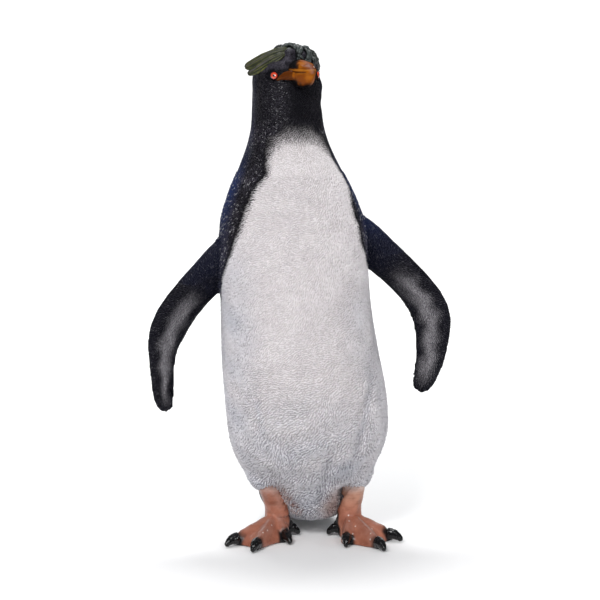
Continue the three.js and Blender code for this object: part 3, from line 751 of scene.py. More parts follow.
def lie(points, facing, node):
    """The direction of the feathers' lie at each point, along the skin."""
    down = np.zeros_like(points)
    down[:, 2] = -1
    degrees = round_body(points)[0]
    across = 1.15 - 0.75 * step(np.abs(degrees), 28, 62)
    across *= 1 - 0.25 * (1 - step(points[:, 2], 0.12, 0.25))
    across *= 1 - 0.75 * step(points[:, 2], 0.25, 0.34) * step(degrees, -5, 20)
    turn = 0.50 * waves(points, 0.07, 1) + 0.35 * waves(points, 0.026, 2) - across
    calm = step(np.abs(degrees), 80, 130)
    turn *= 1 - 0.6 * calm
    headed = step(points[:, 2], 0.46, 0.49)
    down += headed[:, None] * (np.array((0, 0, 0.35)) - ahead * 1.1)
    turn *= 1 - 0.45 * headed
    for name in BLADES:
        here = node == FLESH.index(name)
        if here.any():
            along, across, direction = on_blade(name, points[here])
            outwards = np.sign(BLADES[name][0][-1, 0])
            down[here] = direction
            outer = step(across, 0.15, 0.5) * step(-facing[here, 1], 0, 0.3) * step(along, 0.02, 0.2)
            swirl = 0.3 * waves(points[here], 0.02, 3) + 0.25
            turn[here] = outwards * (outer * 0.9 - swirl * (1 - outer))
    tail = node == FLESH.index("tail")
    down[tail] = (0, 1, -0.5)
    turn[tail] = 0
    along = unit(down - facing * (down * facing).sum(1, keepdims=True))
    side = np.cross(facing, along)
    return along * np.cos(turn)[:, None] + side * np.sin(turn)[:, None]


def settle(points):
    """The nearest places on the skin, and its normals there."""
    found = [skin_tree.find_nearest(p) for p in points]
    return np.array([f[0] for f in found]), np.array([f[1] for f in found])


def new_piece(name, corners, faces):
    """A new object of these corners and faces."""
    mesh = bpy.data.meshes.new(name)
    mesh.from_pydata(corners.tolist(), [], faces)
    piece = bpy.data.objects.new(name, mesh)
    bpy.context.scene.collection.objects.link(piece)
    return piece


def vertex_of_corner(piece):
    return read_rows(piece.data.loops, "vertex_index", 1, int)[:, 0]


def stroke_faces():
    """The faces of one closed stroke: a root, rings of left, top and right, and a tip."""
    rings = len(RING_WIDTHS)
    tip = 3 * rings + 1
    under, over = [(0, 1, 3)], [(0, 2, 1), (0, 3, 2)]
    for ring in range(rings - 1):
        left, top, right = (3 * ring + k for k in (1, 2, 3))
        under.append((left, left + 3, right + 3, right))
        over += [(left, top, top + 3, left + 3), (top, right, right + 3, top + 3)]
    left, top, right = (3 * (rings - 1) + k for k in (1, 2, 3))
    under.append((left, tip, right))
    over += [(left, top, tip), (top, right, tip)]
    return under + over


def joined_strokes(name, lines, facings, halves, heights, values, patches):
    """One piece of many strokes. lines holds the points that each stroke follows on the skin."""
    count, rings = len(lines), len(RING_WIDTHS)
    runs = unit(np.gradient(lines, axis=1))
    sides = unit(np.cross(facings, runs))
    corners = np.empty((count, 3 * rings + 2, 3))
    corners[:, 0] = lines[:, 0] - facings[:, 0] * SINK
    corners[:, -1] = lines[:, -1] + facings[:, -1] * heights[:, None] * TIP_HEIGHT
    for ring, (wide, high) in enumerate(zip(RING_WIDTHS, RING_HEIGHTS)):
        middle, out = lines[:, ring + 1], facings[:, ring + 1]
        across = sides[:, ring + 1] * halves[:, None] * wide
        corners[:, 3 * ring + 1] = middle - across - out * SINK
        corners[:, 3 * ring + 2] = middle + out * heights[:, None] * high
        corners[:, 3 * ring + 3] = middle + across - out * SINK
    pattern = stroke_faces()
    width = corners.shape[1]
    faces = [[tuple(v + width * k for v in face) for face in pattern] for k in range(count)]
    piece = new_piece(name, corners.reshape(-1, 3), sum(faces, []))
    piece.data.shade_smooth()
    store(piece, ridge=np.tile([GROOVE] + [GROOVE, 1, GROOVE] * rings + [TIP], count))
    store(piece, **{key: np.repeat(value, width) for key, value in values.items()})
    across = np.array([0] + [-1, 0, 1] * rings + [0])
    along = np.array([-1] + list(np.repeat(np.linspace(-0.6, 0.6, rings), 3)) + [1])
    spots = patches[:, None] + PATCH * np.stack((across, along), 1)[None]
    spots = spots.reshape(-1, 2)[vertex_of_corner(piece)]
    piece.data.uv_layers.new(name="OFBake").uv.foreach_set("vector", spots.astype(np.float32).ravel())
    return piece


def unwrapped(solid):
    """A tree of a solid's faces, with the places of their corners on an unwrap of its own shape."""
    islands = {"angle_limit": 1.15, "island_margin": 0.008, "scale_to_bounds": True}
    edit(solid, (bpy.ops.mesh.quads_convert_to_tris, {}), (bpy.ops.uv.smart_project, islands))
    places = read_rows(solid.data.uv_layers.active.uv, "vector", 2)
    points = read_points(solid)[vertex_of_corner(solid)]
    tree = BVHTree.FromObject(solid, bpy.context.evaluated_depsgraph_get())
    return tree, points.reshape(-1, 3, 3), places.reshape(-1, 3, 2)


def patches_at(points):
    """Each point's place on the unwrap of the body's solids."""
    face = np.array([flat_tree.find_nearest(p)[2] for p in points])
    a, b, c = (flat_corners[face, k] for k in range(3))
    normal = np.cross(b - a, c - a)
    whole = np.maximum((normal * normal).sum(1), 1e-18)
    across = ((c - b, points - b), (a - c, points - c), (b - a, points - a))
    shares = np.stack([(np.cross(*pair) * normal).sum(1) / whole for pair in across], 1)
    shares = np.clip(shares, 0, 1)
    shares /= shares.sum(1, keepdims=True)
    return (flat_places[face] * shares[:, :, None]).sum(1)


flat_solid = merged_copy("unwrap", FLESH)
flat_tree, flat_corners, flat_places = unwrapped(flat_solid)
bpy.data.objects.remove(flat_solid)

roots, root_facing, root_vertex = scatter(11)
# The lids and the brow are left smooth, and the tail gets longer feathers of its own.
face = on_face(roots)
bare = np.linalg.norm(face - EYE, axis=1) < 8
bare |= (from_brow(face) < 8) & (face[:, 2] > -20)
bare |= (node_at[root_vertex] == FLESH.index("tail")) & (root_facing[:, 2] > 0.2)
# So are the flippers' thin edges, and the tail's where it is near the ground.
bare |= roots[:, 2] < NEAR_GROUND
for name in BLADES:
    here = np.flatnonzero(node_at[root_vertex] == FLESH.index(name))
    along, across, _ = on_blade(name, roots[here])
    bare[here] |= ((across < -0.86) | (across > 0.95) | (along > 0.975)) & (along > 0.1)
roots, root_facing, root_vertex = roots[~bare], root_facing[~bare], root_vertex[~bare]
root_node = node_at[root_vertex]
chance = np.random.default_rng(12)
uneven = chance.uniform(0.8, 1.2, (3, len(roots)))
halves, lengths, heights = sizes_at(roots, root_node)[:, :3].T * uneven
here, out = roots, root_facing
line, facings = [here], [out]
for near, far in zip(STROKE_PLACES, STROKE_PLACES[1:]):
    here, out = settle(here + lie(here, out, root_node) * (lengths * (far - near))[:, None])
    line.append(here)
    facings.append(out)
line, facings = np.stack(line, 1), np.stack(facings, 1)
values = markings(roots, root_facing, root_node)
values["tint"] = chance.uniform(-1, 1, len(roots))
patches = np.clip(patches_at(roots), PATCH, 1 - PATCH)

# The strokes are made in these fields, each one piece unless it would be too large.
OWN_FIELD = ("head", "neck", "tail", "flipper_right", "flipper_left")
FIELDS = {"feathers_" + node: root_node == FLESH.index(node) for node in OWN_FIELD}
rest = ~np.any(list(FIELDS.values()), axis=0)
in_front = root_facing[:, 1] < 0
low = roots[:, 2] < 0.2
FIELDS["feathers_breast"] = rest & in_front & ~low
FIELDS["feathers_belly"] = rest & in_front & low
FIELDS["feathers_back"] = rest & ~in_front & ~low
FIELDS["feathers_rump"] = rest & ~in_front & low
for name, chosen in FIELDS.items():
    chosen = np.flatnonzero(chosen)
    pieces = math.ceil(len(chosen) / MOST_IN_A_PIECE)
    for number, part in enumerate(np.array_split(chosen[np.argsort(roots[chosen, 2])], pieces)):
        label = name if pieces == 1 else f"{name}_{number + 1}"
        own = {key: value[part] for key, value in values.items()}
        shape = (rows[part] for rows in (line, facings, halves, heights))
        coat = joined_strokes(label, *shape, own, patches[part])
        coat.data.materials.append(relief)
        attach(coat, "root")
        "white_paint" if own["white"].mean() > 0.5 else "dark_paint"

# ---- legs and feet -------------------------------------------------------------------------------
# Cast with the body: bare legs, webbed feet and hind toes, with tendons and wrinkles modelled in.
# Painted terracotta, paler up the legs, sprayed black at the toes, and varnished.

FOOT_VOXEL = 0.0009
CLAW_VOXEL = 0.0006
GAP_FILLED = 0.0005  # closes the gaps between leg, foot and stubs
DROPS = 8  # painted highlights: small pale glints on each foot
TOES = ("inner", "middle", "outer", "hind")
ANKLES = {"right": (-0.0249, -0.0229), "left": (0.0556, -0.0329)}
# Where the belly's feathering meets the legs' inner sides, in metres from the middle.
INNER = {"right": (-0.030, -0.020), "left": (-0.052, -0.046)}
# Stubs that carry each leg on, inside the feathering: bottom, top and radius.
STUBS = {
    "right": (
        ((-0.0305, -0.0248, 0.048), (-0.0362, -0.0264, 0.082), 0.0118),
        ((-0.0205, -0.0300, 0.026), (-0.0300, -0.0290, 0.066), 0.0085),
    ),
    "left": (((0.0586, -0.0338, 0.048), (0.0612, -0.0346, 0.082), 0.0118),),
}


def toe_run(side, toe):
    """From the ankle to the middle of a toe's claw, in plan: its direction and length in millimetres."""
    run = (centre(f"claw_{side}_{toe}")[:2] - ANKLES[side]) * 1000
    return run / np.linalg.norm(run), np.linalg.norm(run)


def shape_foot(side, points, facing):
    """How far each point of a foot is raised, in millimetres, how black it is and how much of a ridge."""
    away = (points[:, :2] - ANKLES[side]) * 1000
    height = points[:, 2] * 1000
    above = step(facing[:, 2], -0.1, 0.35)
    lift = 0.2 * waves(points, 0.011, 21) + 0.05 * waves(points, 0.004, 22)
    soot, ridges = np.zeros(len(points)), np.zeros(len(points))
    low = 1 - step(height, 24, 34)
    uneven = waves(points, 0.006, 23)
    for toe in TOES:
        run, reach = toe_run(side, toe)
        along, off = away @ run, away @ np.array((run[1], -run[0]))
        share = along / reach
        toed = step(share, 0.05, 0.4) * low
        ridge = bump(off, 0, 9.5 if toe != "hind" else 7) * toed
        knuckle = 0.5 + 0.5 * np.cos(2 * math.pi * (along - reach + 12) / 17)
        crease = np.sin(2 * math.pi * along / 2.7 + 0.9 * uneven)
        lift += above * ridge * (0.9 + 0.5 * knuckle) * (0.5 if toe == "middle" else 1)
        lift += above * 0.10 * np.minimum(crease, 0.3) * bump(off, 0, 7) * toed
        sprayed = 11 if toe == "inner" else 17
        black = step(along + 0.8 * uneven, reach - sprayed, reach - 8) * (1 - step(np.abs(off), 5.5, 9.5))
        lift -= 1.3 * step(along, reach - 6, reach - 1) * (1 - step(np.abs(off), 4, 6)) * low
        soot = np.maximum(soot, black * low)
        ridges = np.maximum(ridges, ridge)
    webbed = above * (1 - step(height, 14, 22))
    angle = np.arctan2(away[:, 0], -away[:, 1])
    lift += 0.06 * np.sin(angle * 44 + 1.2 * uneven) * webbed
    ring = np.sin(2 * math.pi * height / 3.4 + 1.5 * uneven)
    lift += 0.13 * np.minimum(ring, 0.2) * step(height, 26, 34)
    return lift, soot, ridges


varnish, place = finish_of("terracotta_varnish", 0.25, specular=0.2, coat=0.22, coat_rough=0.25)
blotch = place.noise(55.0, 3.0, 0.6)
grime = place.noise(260.0, 3.0, 0.65)
frosted = (value_of(varnish, "frost") * (0.5 + grime)).sum("MINIMUM", 1.0)
coated(
    blotch.between(0.3, 0.7).mix((0.28, 0.098, 0.060), (0.41, 0.158, 0.098)),
    (value_of(varnish, "ridge") * blotch.between(0.3, 0.7), (0.24, 0.145, 0.125)),
    (value_of(varnish, "shin"), blotch.between(0.35, 0.7).mix((0.35, 0.155, 0.10), (0.46, 0.235, 0.16))),
    (frosted, (0.58, 0.47, 0.43)),
    # Painted shade in the foot's hollows and where the leg goes up under the feathering.
    (value_of(varnish, "hollow") * (0.6 + grime * 0.5), (0.10, 0.035, 0.022)),
    (value_of(varnish, "soot"), (0.004, 0.0035, 0.004)),
    (value_of(varnish, "gleam"), (0.75, 0.70, 0.66)),
).feed("Base Color")
(0.28 + grime * 0.16).feed("Roughness")

for side, turn in TURNS.items():
    foot = merged_copy("foot_cast_" + side, [f"leg_{side}", f"foot_{side}"])
    for start, end, radius in STUBS[side]:
        bottom, top = Vector(start), Vector(end)
        bpy.ops.mesh.primitive_cylinder_add(
            vertices=32,
            radius=radius,
            depth=(top - bottom).length,
            location=(bottom + top) / 2,
            rotation=(top - bottom).to_track_quat("Z", "Y").to_euler(),
        )
        bpy.ops.object.transform_apply(location=True, rotation=True, scale=True)
        foot = join(foot, bpy.context.object)
    modify(foot, "DISPLACE", strength=GAP_FILLED, mid_level=0)
    modify(foot, "REMESH", mode="VOXEL", voxel_size=FOOT_VOXEL, use_smooth_shade=True)
    modify(foot, "SMOOTH", factor=0.5, iterations=20)
    # The webs are thinned and flattened, up and down alone.
    weigh(foot, "low", read_points(foot)[:, 2] < 0.026)
    modify(foot, "SMOOTH", factor=0.5, iterations=120, use_x=False, use_y=False, vertex_group="low")
    points, facing = surface(foot)
    lift, soot, ridges = shape_foot(side, points, facing)
    points += facing * lift[:, None] / 1000
    points[:, 2] = np.maximum(points[:, 2], 0)
    move_points(foot, points)
    # The right leg is in the belly's shade, so its shin is painted darker, duller and less pale at the top
    # than the left: painted shade.
    shin = step(points[:, 2], 0.030, 0.052) * (0.1 if side == "right" else 1)
    frost = step(points[:, 2], 0.050, 0.062) * (0.4 if side == "right" else 1)
    dulled = 0.7 * step(points[:, 2], 0.028, 0.05) * (side == "right")
    store(foot, soot=soot, shin=shin, frost=frost, ridge=np.maximum(ridges * 0.6, dulled))
    # Painted shade: the leg is darkened where it goes up under the belly's feathering, and in the foot's
    # hollows.
    gap = np.array([skin_tree.find_nearest(p)[3] for p in points])
    inner = step(points[:, 0] * -turn, *INNER[side])
    fringe = (1 - step(gap, 0.002, 0.009)) * inner * step(waves(points * (1, 1, 0.6), 0.004, 24), -0.5, 0.7)
    store(foot, hollow=np.maximum(0.4 * step(-lift, -0.1, 0.35), fringe))
    points -= facing * (0.0006 * fringe)[:, None]
    move_points(foot, points)
    # Painted highlights: small pale glints at random places on the foot's upper front.
    shown = (facing[:, 2] > 0.1) & (facing[:, 1] < 0.1) & (points[:, 2] > 0.008) & (soot < 0.9)
    drops = points[np.random.default_rng(25).choice(np.flatnonzero(shown), DROPS)]
    from_drop = np.min(np.linalg.norm(points[:, None] - drops[None], axis=2), axis=1)
    store(foot, gleam=1 - step(from_drop, 0.0003, 0.0011))
    foot.data.materials.append(varnish)
    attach(foot, "root")
    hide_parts(f"leg_{side}", f"foot_{side}")

# ---- claws ---------------------------------------------------------------------------------------
# Blunt black claws, set into the ends of the toes and varnished. Each curves down to the floor.

jet, place = finish_of("black_varnish", rough=0.18, specular=0.4)
worn = place.noise(190.0, 3.0, 0.6)
worn.between(0.5, 0.75).mix((0.003, 0.003, 0.0035), (0.006, 0.005, 0.006)).feed("Base Color")
(0.07 + worn * 0.08).feed("Roughness")

for side in TURNS:
    for toe in TOES:
        claw = merged_copy(f"claw_cast_{side}_{toe}", [f"claw_{side}_{toe}"])
        modify(claw, "REMESH", mode="VOXEL", voxel_size=CLAW_VOXEL, use_smooth_shade=True)
        modify(claw, "SMOOTH", factor=0.5, iterations=3)
        points, facing = surface(claw)
        run, reach = toe_run(side, toe)
        away = (points[:, :2] - ANKLES[side]) * 1000
        along, off = away @ run - reach, away @ np.array((run[1], -run[0]))
        lift = 0.25 * bump(off, 0, 2.4) * step(facing[:, 2], 0, 0.6) + 0.3
        lift += 0.12 * np.sin(2 * math.pi * along / 3.1 + waves(points, 0.006, 31))
        points += facing * lift[:, None] / 1000
        points[:, 2] = np.maximum(points[:, 2], 0)
        move_points(claw, points)
        claw.data.materials.append(jet)
        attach(claw, "root")
        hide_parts(f"claw_{side}_{toe}")

# ---- bill ----------------------------------------------------------------------------------------
# A deep bill, cast on: the upper half has a culmen along its top, and behind the lower one a fleshy
# corner runs back towards each eye. Painted orange brown, sprayed black at the base, and varnished.

MOUTH_UP = 8.2  # the closed mouth's height over the head's centre, in millimetres
# Distance ahead of the head's centre, half width, and the top or the bottom, in millimetres.
UPPER_BILL = (
    (24, 11.6, 17.6), (33, 12.6, 18.6), (41, 12.5, 19.0), (51, 11.6, 18.2),
    (59, 9.8, 16.0), (65, 7.3, 13.6), (69.5, 4.4, 11.0), (72, 1.2, 8.8),
)
LOWER_BILL = (
    (24, 11.6, -9.0), (33, 12.5, -9.8), (41, 12.4, -10.4), (51, 11.4, -10.0),
    (58, 9.6, -8.2), (64, 7.0, -5.2), (68, 4.2, -1.0), (70, 1.2, 4.0),
)
# The corner of the mouth: aside, ahead, up, half its height and half its thickness.
CORNER = (
    (9.0, 49, 3.0, 5.4, 3.0), (13.0, 43.5, 3.2, 5.2, 3.4), (17.0, 38.5, 2.4, 4.4, 3.0),
    (20.5, 34.5, 0.6, 3.0, 2.3), (23.6, 31.5, -1.5, 1.1, 1.1), (24.6, 30.5, -2.2, 0.3, 0.3),
)
BILL_SIDES, BILL_RINGS = 72, 96
CORNER_SIDES, CORNER_RINGS = 40, 60
SQUARISH = 0.86  # the bill's section is a little fuller than an ellipse, which would be 1


def smooth_line(rows, count):
    """Rows along a smooth curve through the given ones."""
    rows = np.array(rows, float)
    spans = len(rows) - 1
    made = []
    for share in np.linspace(0, spans, count):
        k = min(int(share), spans - 1)
        t = share - k
        a, b, c, d = (rows[min(max(k + o, 0), spans)] for o in (-1, 0, 1, 2))
        bent = (2 * a - 5 * b + 4 * c - d) * t**2 + (3 * b - a - 3 * c + d) * t**3
        made.append((2 * b + (c - a) * t + bent) / 2)
    return np.array(made)


def from_head(local):
    """Places in the scene from millimetres to the left, ahead and up from the head's centre."""
    local = np.asarray(local, float) / 1000
    return head_centre + local[..., :1] * leftwards + local[..., 1:2] * ahead + local[..., 2:] * (0, 0, 1)


def skinned(name, rings):
    """A closed, smooth piece whose surface runs through rings of places, with its ends closed."""
    count, sides = rings.shape[:2]
    corners = np.concatenate((rings.reshape(-1, 3), rings[:1].mean(1), rings[-1:].mean(1)))
    faces = []
    for row in range(count - 1):
        for k in range(sides):
            a, b = row * sides + k, row * sides + (k + 1) % sides
            faces.append((a, b, b + sides, a + sides))
    first, last = count * sides, (count - 1) * sides
    for k in range(sides):
        faces.append((first, (k + 1) % sides, k))
        faces.append((first + 1, last + k, last + (k + 1) % sides))
    piece = new_piece(name, corners, faces)
    edit(piece, (bpy.ops.mesh.normals_make_consistent, {"inside": False}))
    bpy.ops.object.shade_smooth()
    return piece


def angles_round(sides):
    return np.linspace(0, 2 * math.pi, sides, endpoint=False)


def with_ends(rings, first, last):
    """One value for each point of a skinned piece, from those of its rings and its two ends."""
    return np.concatenate((np.ravel(rings), (first, last)))


def sweep(line, out, wide, deep, sides):
    """Rings of a flattened strand along a line: wide across it, and deep the way out points."""
    runs = unit(np.gradient(line, axis=0))
    across = unit(np.cross(out, runs))
    out = np.cross(runs, across)
    angles = angles_round(sides)
    flat = across[:, None] * (np.cos(angles) * wide[:, None])[:, :, None]
    return line[:, None] + flat + out[:, None] * (np.sin(angles) * deep[:, None])[:, :, None]


horn, place = finish_of("orange_varnish", rough=0.22, specular=0.0, coat_rough=0.30)
streak = place.noise(150.0, 3.0, 0.6)
cloud = place.noise(70.0, 2.0, 0.5)
coated(
    cloud.between(0.35, 0.65).mix((0.17, 0.040, 0.002), (0.30, 0.088, 0.005)),
    (streak.between(0.45, 0.7) * 0.45, (0.14, 0.032, 0.004)),
    (value_of(horn, "lip"), (0.40, 0.16, 0.018)),
    (value_of(horn, "culmen") * (0.3 + streak * 0.5), (0.20, 0.13, 0.14)),
    (value_of(horn, "tip"), (0.10, 0.012, 0.004)),
    (value_of(horn, "line"), (0.02, 0.006, 0.003)),
    (value_of(horn, "corner"), (0.068, 0.016, 0.002)),
    (value_of(horn, "soot"), (0.005, 0.0045, 0.005)),
    (value_of(horn, "chip"), (0.62, 0.56, 0.50)),
).feed("Base Color")
(0.3 + streak * 0.1).feed("Roughness")
(value_of(horn, "gloss") * 0.16).feed("Coat Weight")

angles = angles_round(BILL_SIDES)
across = np.sign(np.cos(angles)) * np.abs(np.cos(angles)) ** SQUARISH
upright = np.sign(np.sin(angles)) * np.abs(np.sin(angles)) ** SQUARISH
for half, rows in (("upper", UPPER_BILL), ("lower", LOWER_BILL)):
    forward, wide, reach = smooth_line(rows, BILL_RINGS).T
    mouth = MOUTH_UP - 0.35 - (2.2 * bump(forward, 71.5, 6) if half == "upper" else 0.5 + 0 * forward)
    tall = np.abs(reach - mouth)[:, None]
    if half == "upper":
        up = mouth[:, None] + np.where(upright > 0, tall * upright, 0.8 * upright)
    else:
        up = mouth[:, None] + np.where(upright < 0, tall * upright, 0.3 * upright)
    left = wide[:, None] * across
    bill = skinned("bill_cast_" + half, from_head(np.stack((left, forward[:, None] + 0 * left, up), 2)))
    if half == "lower":
        for turn in TURNS.values():
            corner = smooth_line(CORNER, CORNER_RINGS)
            line, out = corner[:, :3] * (turn, 1, 1), np.array((turn * 0.75, 0.66, 0.0))
            rings = sweep(line, out + 0 * line, corner[:, 3], corner[:, 4], CORNER_SIDES)
            bill = join(bill, skinned("mouth_corner", from_head(rings)))
    points, facing = surface(bill)
    forward, left, height = on_head(points)
    aside = np.abs(left)
    corner = (aside > 12.7) | ((aside > 11.5) & (forward < 47) & (height < MOUTH_UP - 1) & (half == "lower"))
    corner &= (forward < 48) & (forward > 28)
    uneven = waves(points, 0.007, 41)
    above = height - MOUTH_UP
    culmen = np.zeros(len(points))
    tip = np.zeros(len(points))
    if half == "upper":
        top = np.interp(forward, [row[0] for row in rows], [row[2] for row in rows])
        # A lilac sheen painted along the culmen: a painted reflection.
        culmen = bump(aside, 0, 4.6) * step(height, top - 5, top - 1.5)
        lift = 0.5 * bump(aside, 0, 3.4) * step(height, top - 5, top - 1)
        lift -= 0.3 * bump(aside, 5.0, 2.4) * step(height, top - 7, top - 2) * (1 - step(forward, 58, 68))
        nostril = bump(forward, 45, 6.5) * bump(above, 4.6, 1.6) * step(aside, 6, 9)
        lift -= 1.0 * nostril
        # The lip's edge is raised and painted lighter, a painted highlight along it.
        lip = bump(above, 1.0, 1.2)
        lift += 0.3 * lip - 0.25 * bump(above, 2.9, 1.0)
        line = np.maximum(0.45 * bump(above, 2.8, 0.8), 0.9 * nostril)
        # A darker red patch by the tip, on the left side only: painted shade.
        tip = bump(above, 4.5, 5) * bump(left, 7.5, 4) * step(forward, 56, 60)
    else:
        lip = 0.4 * bump(above, -2.4, 1.4)
        lift = -0.3 * bump(above, -0.8, 1.0)
        line = 0.9 * bump(above, -0.7, 0.9) * (1 - corner)
    lift += 0.08 * uneven
    grain = np.sin(2.6 * (height - 0.35 * forward) + 0.8 * uneven)
    lift = np.where(corner, 0.16 * grain + 0.1 * uneven, lift)
    move_points(bill, points + facing * lift[:, None] / 1000)
    airbrushed = step(above, 0.8, 3.2) if half == "upper" else step(-above, 5, 13)
    edge = 36 + (0.8 + 1.1 * airbrushed) * np.maximum(-left, 0) + 0.6 * np.maximum(left, 0)
    based = 1 - step(forward - edge + 2 * uneven, -5, 5)
    based *= 1 - 0.8 * bump(above, 0.8, 2.0) * step(forward, 36, 40)
    below = 1 - step(height + 0.7 * uneven, -8.0, -3.0)
    soot = np.maximum(based, below)
    soot = np.where(corner, 0.55 * step(-height, 1.5, 4.5) + 0.35 * step(grain, 0.2, 1), soot)
    soot = np.maximum(soot, 0.85 * corner * (left > 0))
    # Two painted highlights, small pale glints: one behind the gape on the right, one near the tip on the
    # left.
    chipped = np.linalg.norm(np.stack((left + 12.0, forward - 46.0, height - 1.6), 1), axis=1)
    chip = 1 - step(chipped, 1.0, 1.9) + 0.8 * (1 - step(np.hypot(left - 5.0, above - 4.5), 0.5, 1.1))
    store(bill, soot=soot, lip=lip * 0.6 * (1 - corner), culmen=culmen * 0.6, tip=tip, chip=chip)
    store(bill, line=np.clip(line, 0, 1), corner=corner * 0.85, gloss=1 - 0.9 * step(left, 4, 10))
    bill.data.materials.append(horn)
    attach(bill, "root")
    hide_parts("bill_" + half)

# ---- eyes ----------------------------------------------------------------------------------------
# Glossy painted balls, set in behind the lids: a red iris round a small black pupil, with a painted
# highlight, a pale catch-light, beside it.

BALL = 0.0060  # its radius
BALL_SIDES = 64
BACK_OF_BALL = 9  # millimetres from the pupil, past every ring of its paint
EYE_ASIDE = math.radians(36)  # how far each eye looks away from straight ahead
EYE_UP = 0.0026  # how far above its solid's middle each ball sits, under the brow

glass, place = finish_of("eye_gloss", rough=0.06, coat=0.5)
from_pupil = value_of(glass, "from_pupil")
flecks = place.noise(900.0, 2.0, 0.6)
coated(
    flecks.between(0.3, 0.7).mix((0.55, 0.045, 0.015), (0.78, 0.10, 0.035)),
    (from_pupil.between(2.6, 3.6), (0.36, 0.020, 0.008)),
    (from_pupil.between(3.6, 3.85), (0.004, 0.004, 0.004)),
    ((from_pupil + flecks * 0.5).between(1.8, 1.5), (0.003, 0.003, 0.003)),
    (value_of(glass, "catch"), (0.85, 0.83, 0.80)),
).feed("Base Color")
(0.04 + flecks * 0.03).feed("Roughness")

for side, turn in TURNS.items():
    bpy.ops.mesh.primitive_uv_sphere_add(segments=BALL_SIDES, ring_count=BALL_SIDES, radius=BALL)
    ball = bpy.context.object
    ball.name = "eye_ball_" + side
    bpy.ops.object.shade_smooth()
    points = read_points(ball)
    off = np.hypot(points[:, 0], points[:, 1]) * 1000
    in_front = points[:, 2] > 0
    from_catch = np.hypot(points[:, 0] * 1000 - 1.5, points[:, 1] * 1000 - 0.3)
    store(ball, from_pupil=np.where(in_front, off, BACK_OF_BALL))
    store(ball, catch=(1 - step(from_catch, 0.4, 0.9)) * in_front)
    points[:, 2] += 0.0005 * bump(off, 0, 3.6) * in_front
    axis = unit(ahead * math.cos(EYE_ASIDE) + turn * leftwards * math.sin(EYE_ASIDE))
    across = unit(np.cross((0, 0, 1), axis))
    middle = eye_places[side] + (0, 0, EYE_UP)
    move_points(ball, middle + points @ np.array((across, np.cross(axis, across), axis)))
    ball.data.materials.append(glass)
    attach(ball, "root")
    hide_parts("eye_" + side)

# ---- crest ---------------------------------------------------------------------------------------
# Thick leaves of plumes, cast on over each eye, with veins along them. The right ones stand free of the
# head at their ends, the left ones lie close. Painted olive, dark in the grooves, ridges brushed grey.

# Each plume's middle line, half its width and half its thickness: millimetres aside, ahead and up.
PLUMES = {
    "right": (
        (
            (6, 21, 29.5, 2.2, 2.0), (12, 19.5, 29.6, 4.0, 2.6), (21, 14, 27.0, 5.2, 2.8),
            (30, 8, 21.6, 5.8, 2.6), (37.5, 1, 16.2, 6.2, 2.3), (42.5, -4.5, 12.6, 5.6, 2.0),
            (45.0, -7.6, 11.4, 3.0, 1.4), (45.8, -8.6, 11.0, 0.5, 0.5),
        ),
        (
            (12, 25, 25.5, 1.8, 2.0), (16, 23.5, 24.0, 3.8, 2.8), (23, 19, 20.0, 5.4, 3.3),
            (30, 13, 14.8, 5.6, 3.2), (36.5, 6, 9.2, 4.8, 2.8), (41.0, -0.5, 5.4, 3.8, 2.3),
            (43.2, -3.6, 4.2, 2.2, 1.4), (43.9, -4.6, 3.9, 0.4, 0.4),
        ),
    ),
    "left": (
        (
            (9, 24, 28.0, 2.4, 2.2), (15.5, 20.5, 27.6, 4.6, 3.0), (23, 14, 26.0, 5.4, 3.2),
            (30, 6, 22.4, 5.8, 3.2), (36, -4, 17.6, 5.4, 2.8), (39, -12, 13.0, 1.2, 0.8),
        ),
        (
            (13, 28, 23.5, 2.2, 2.2), (20, 23, 20.8, 4.8, 3.0), (27.5, 16, 16.6, 5.4, 3.2),
            (33.5, 7, 11.0, 4.8, 2.8), (37, -2, 5.0, 3.4, 2.1), (38.5, -7, 2.5, 0.9, 0.7),
        ),
    ),
}
PLUME_SIDES, PLUME_RINGS = 64, 110

olive, place = finish_of("olive_paint_relief", rough=0.5, specular=0.35)
patchy = place.noise(120.0, 3.0, 0.6)
green = patchy.between(0.3, 0.7).mix((0.030, 0.036, 0.008), (0.092, 0.096, 0.020))
mossed = value_of(olive, "moss").mix(green, (0.022, 0.028, 0.022))
coated(
    (0.006, 0.008, 0.005),
    (value_of(olive, "rib").between(-0.5, 0.7), mossed),
    (value_of(olive, "middle") * (0.2 + patchy * 0.9), (0.11, 0.095, 0.11)),
).feed("Base Color")
(0.34 + patchy * 0.2).feed("Roughness")

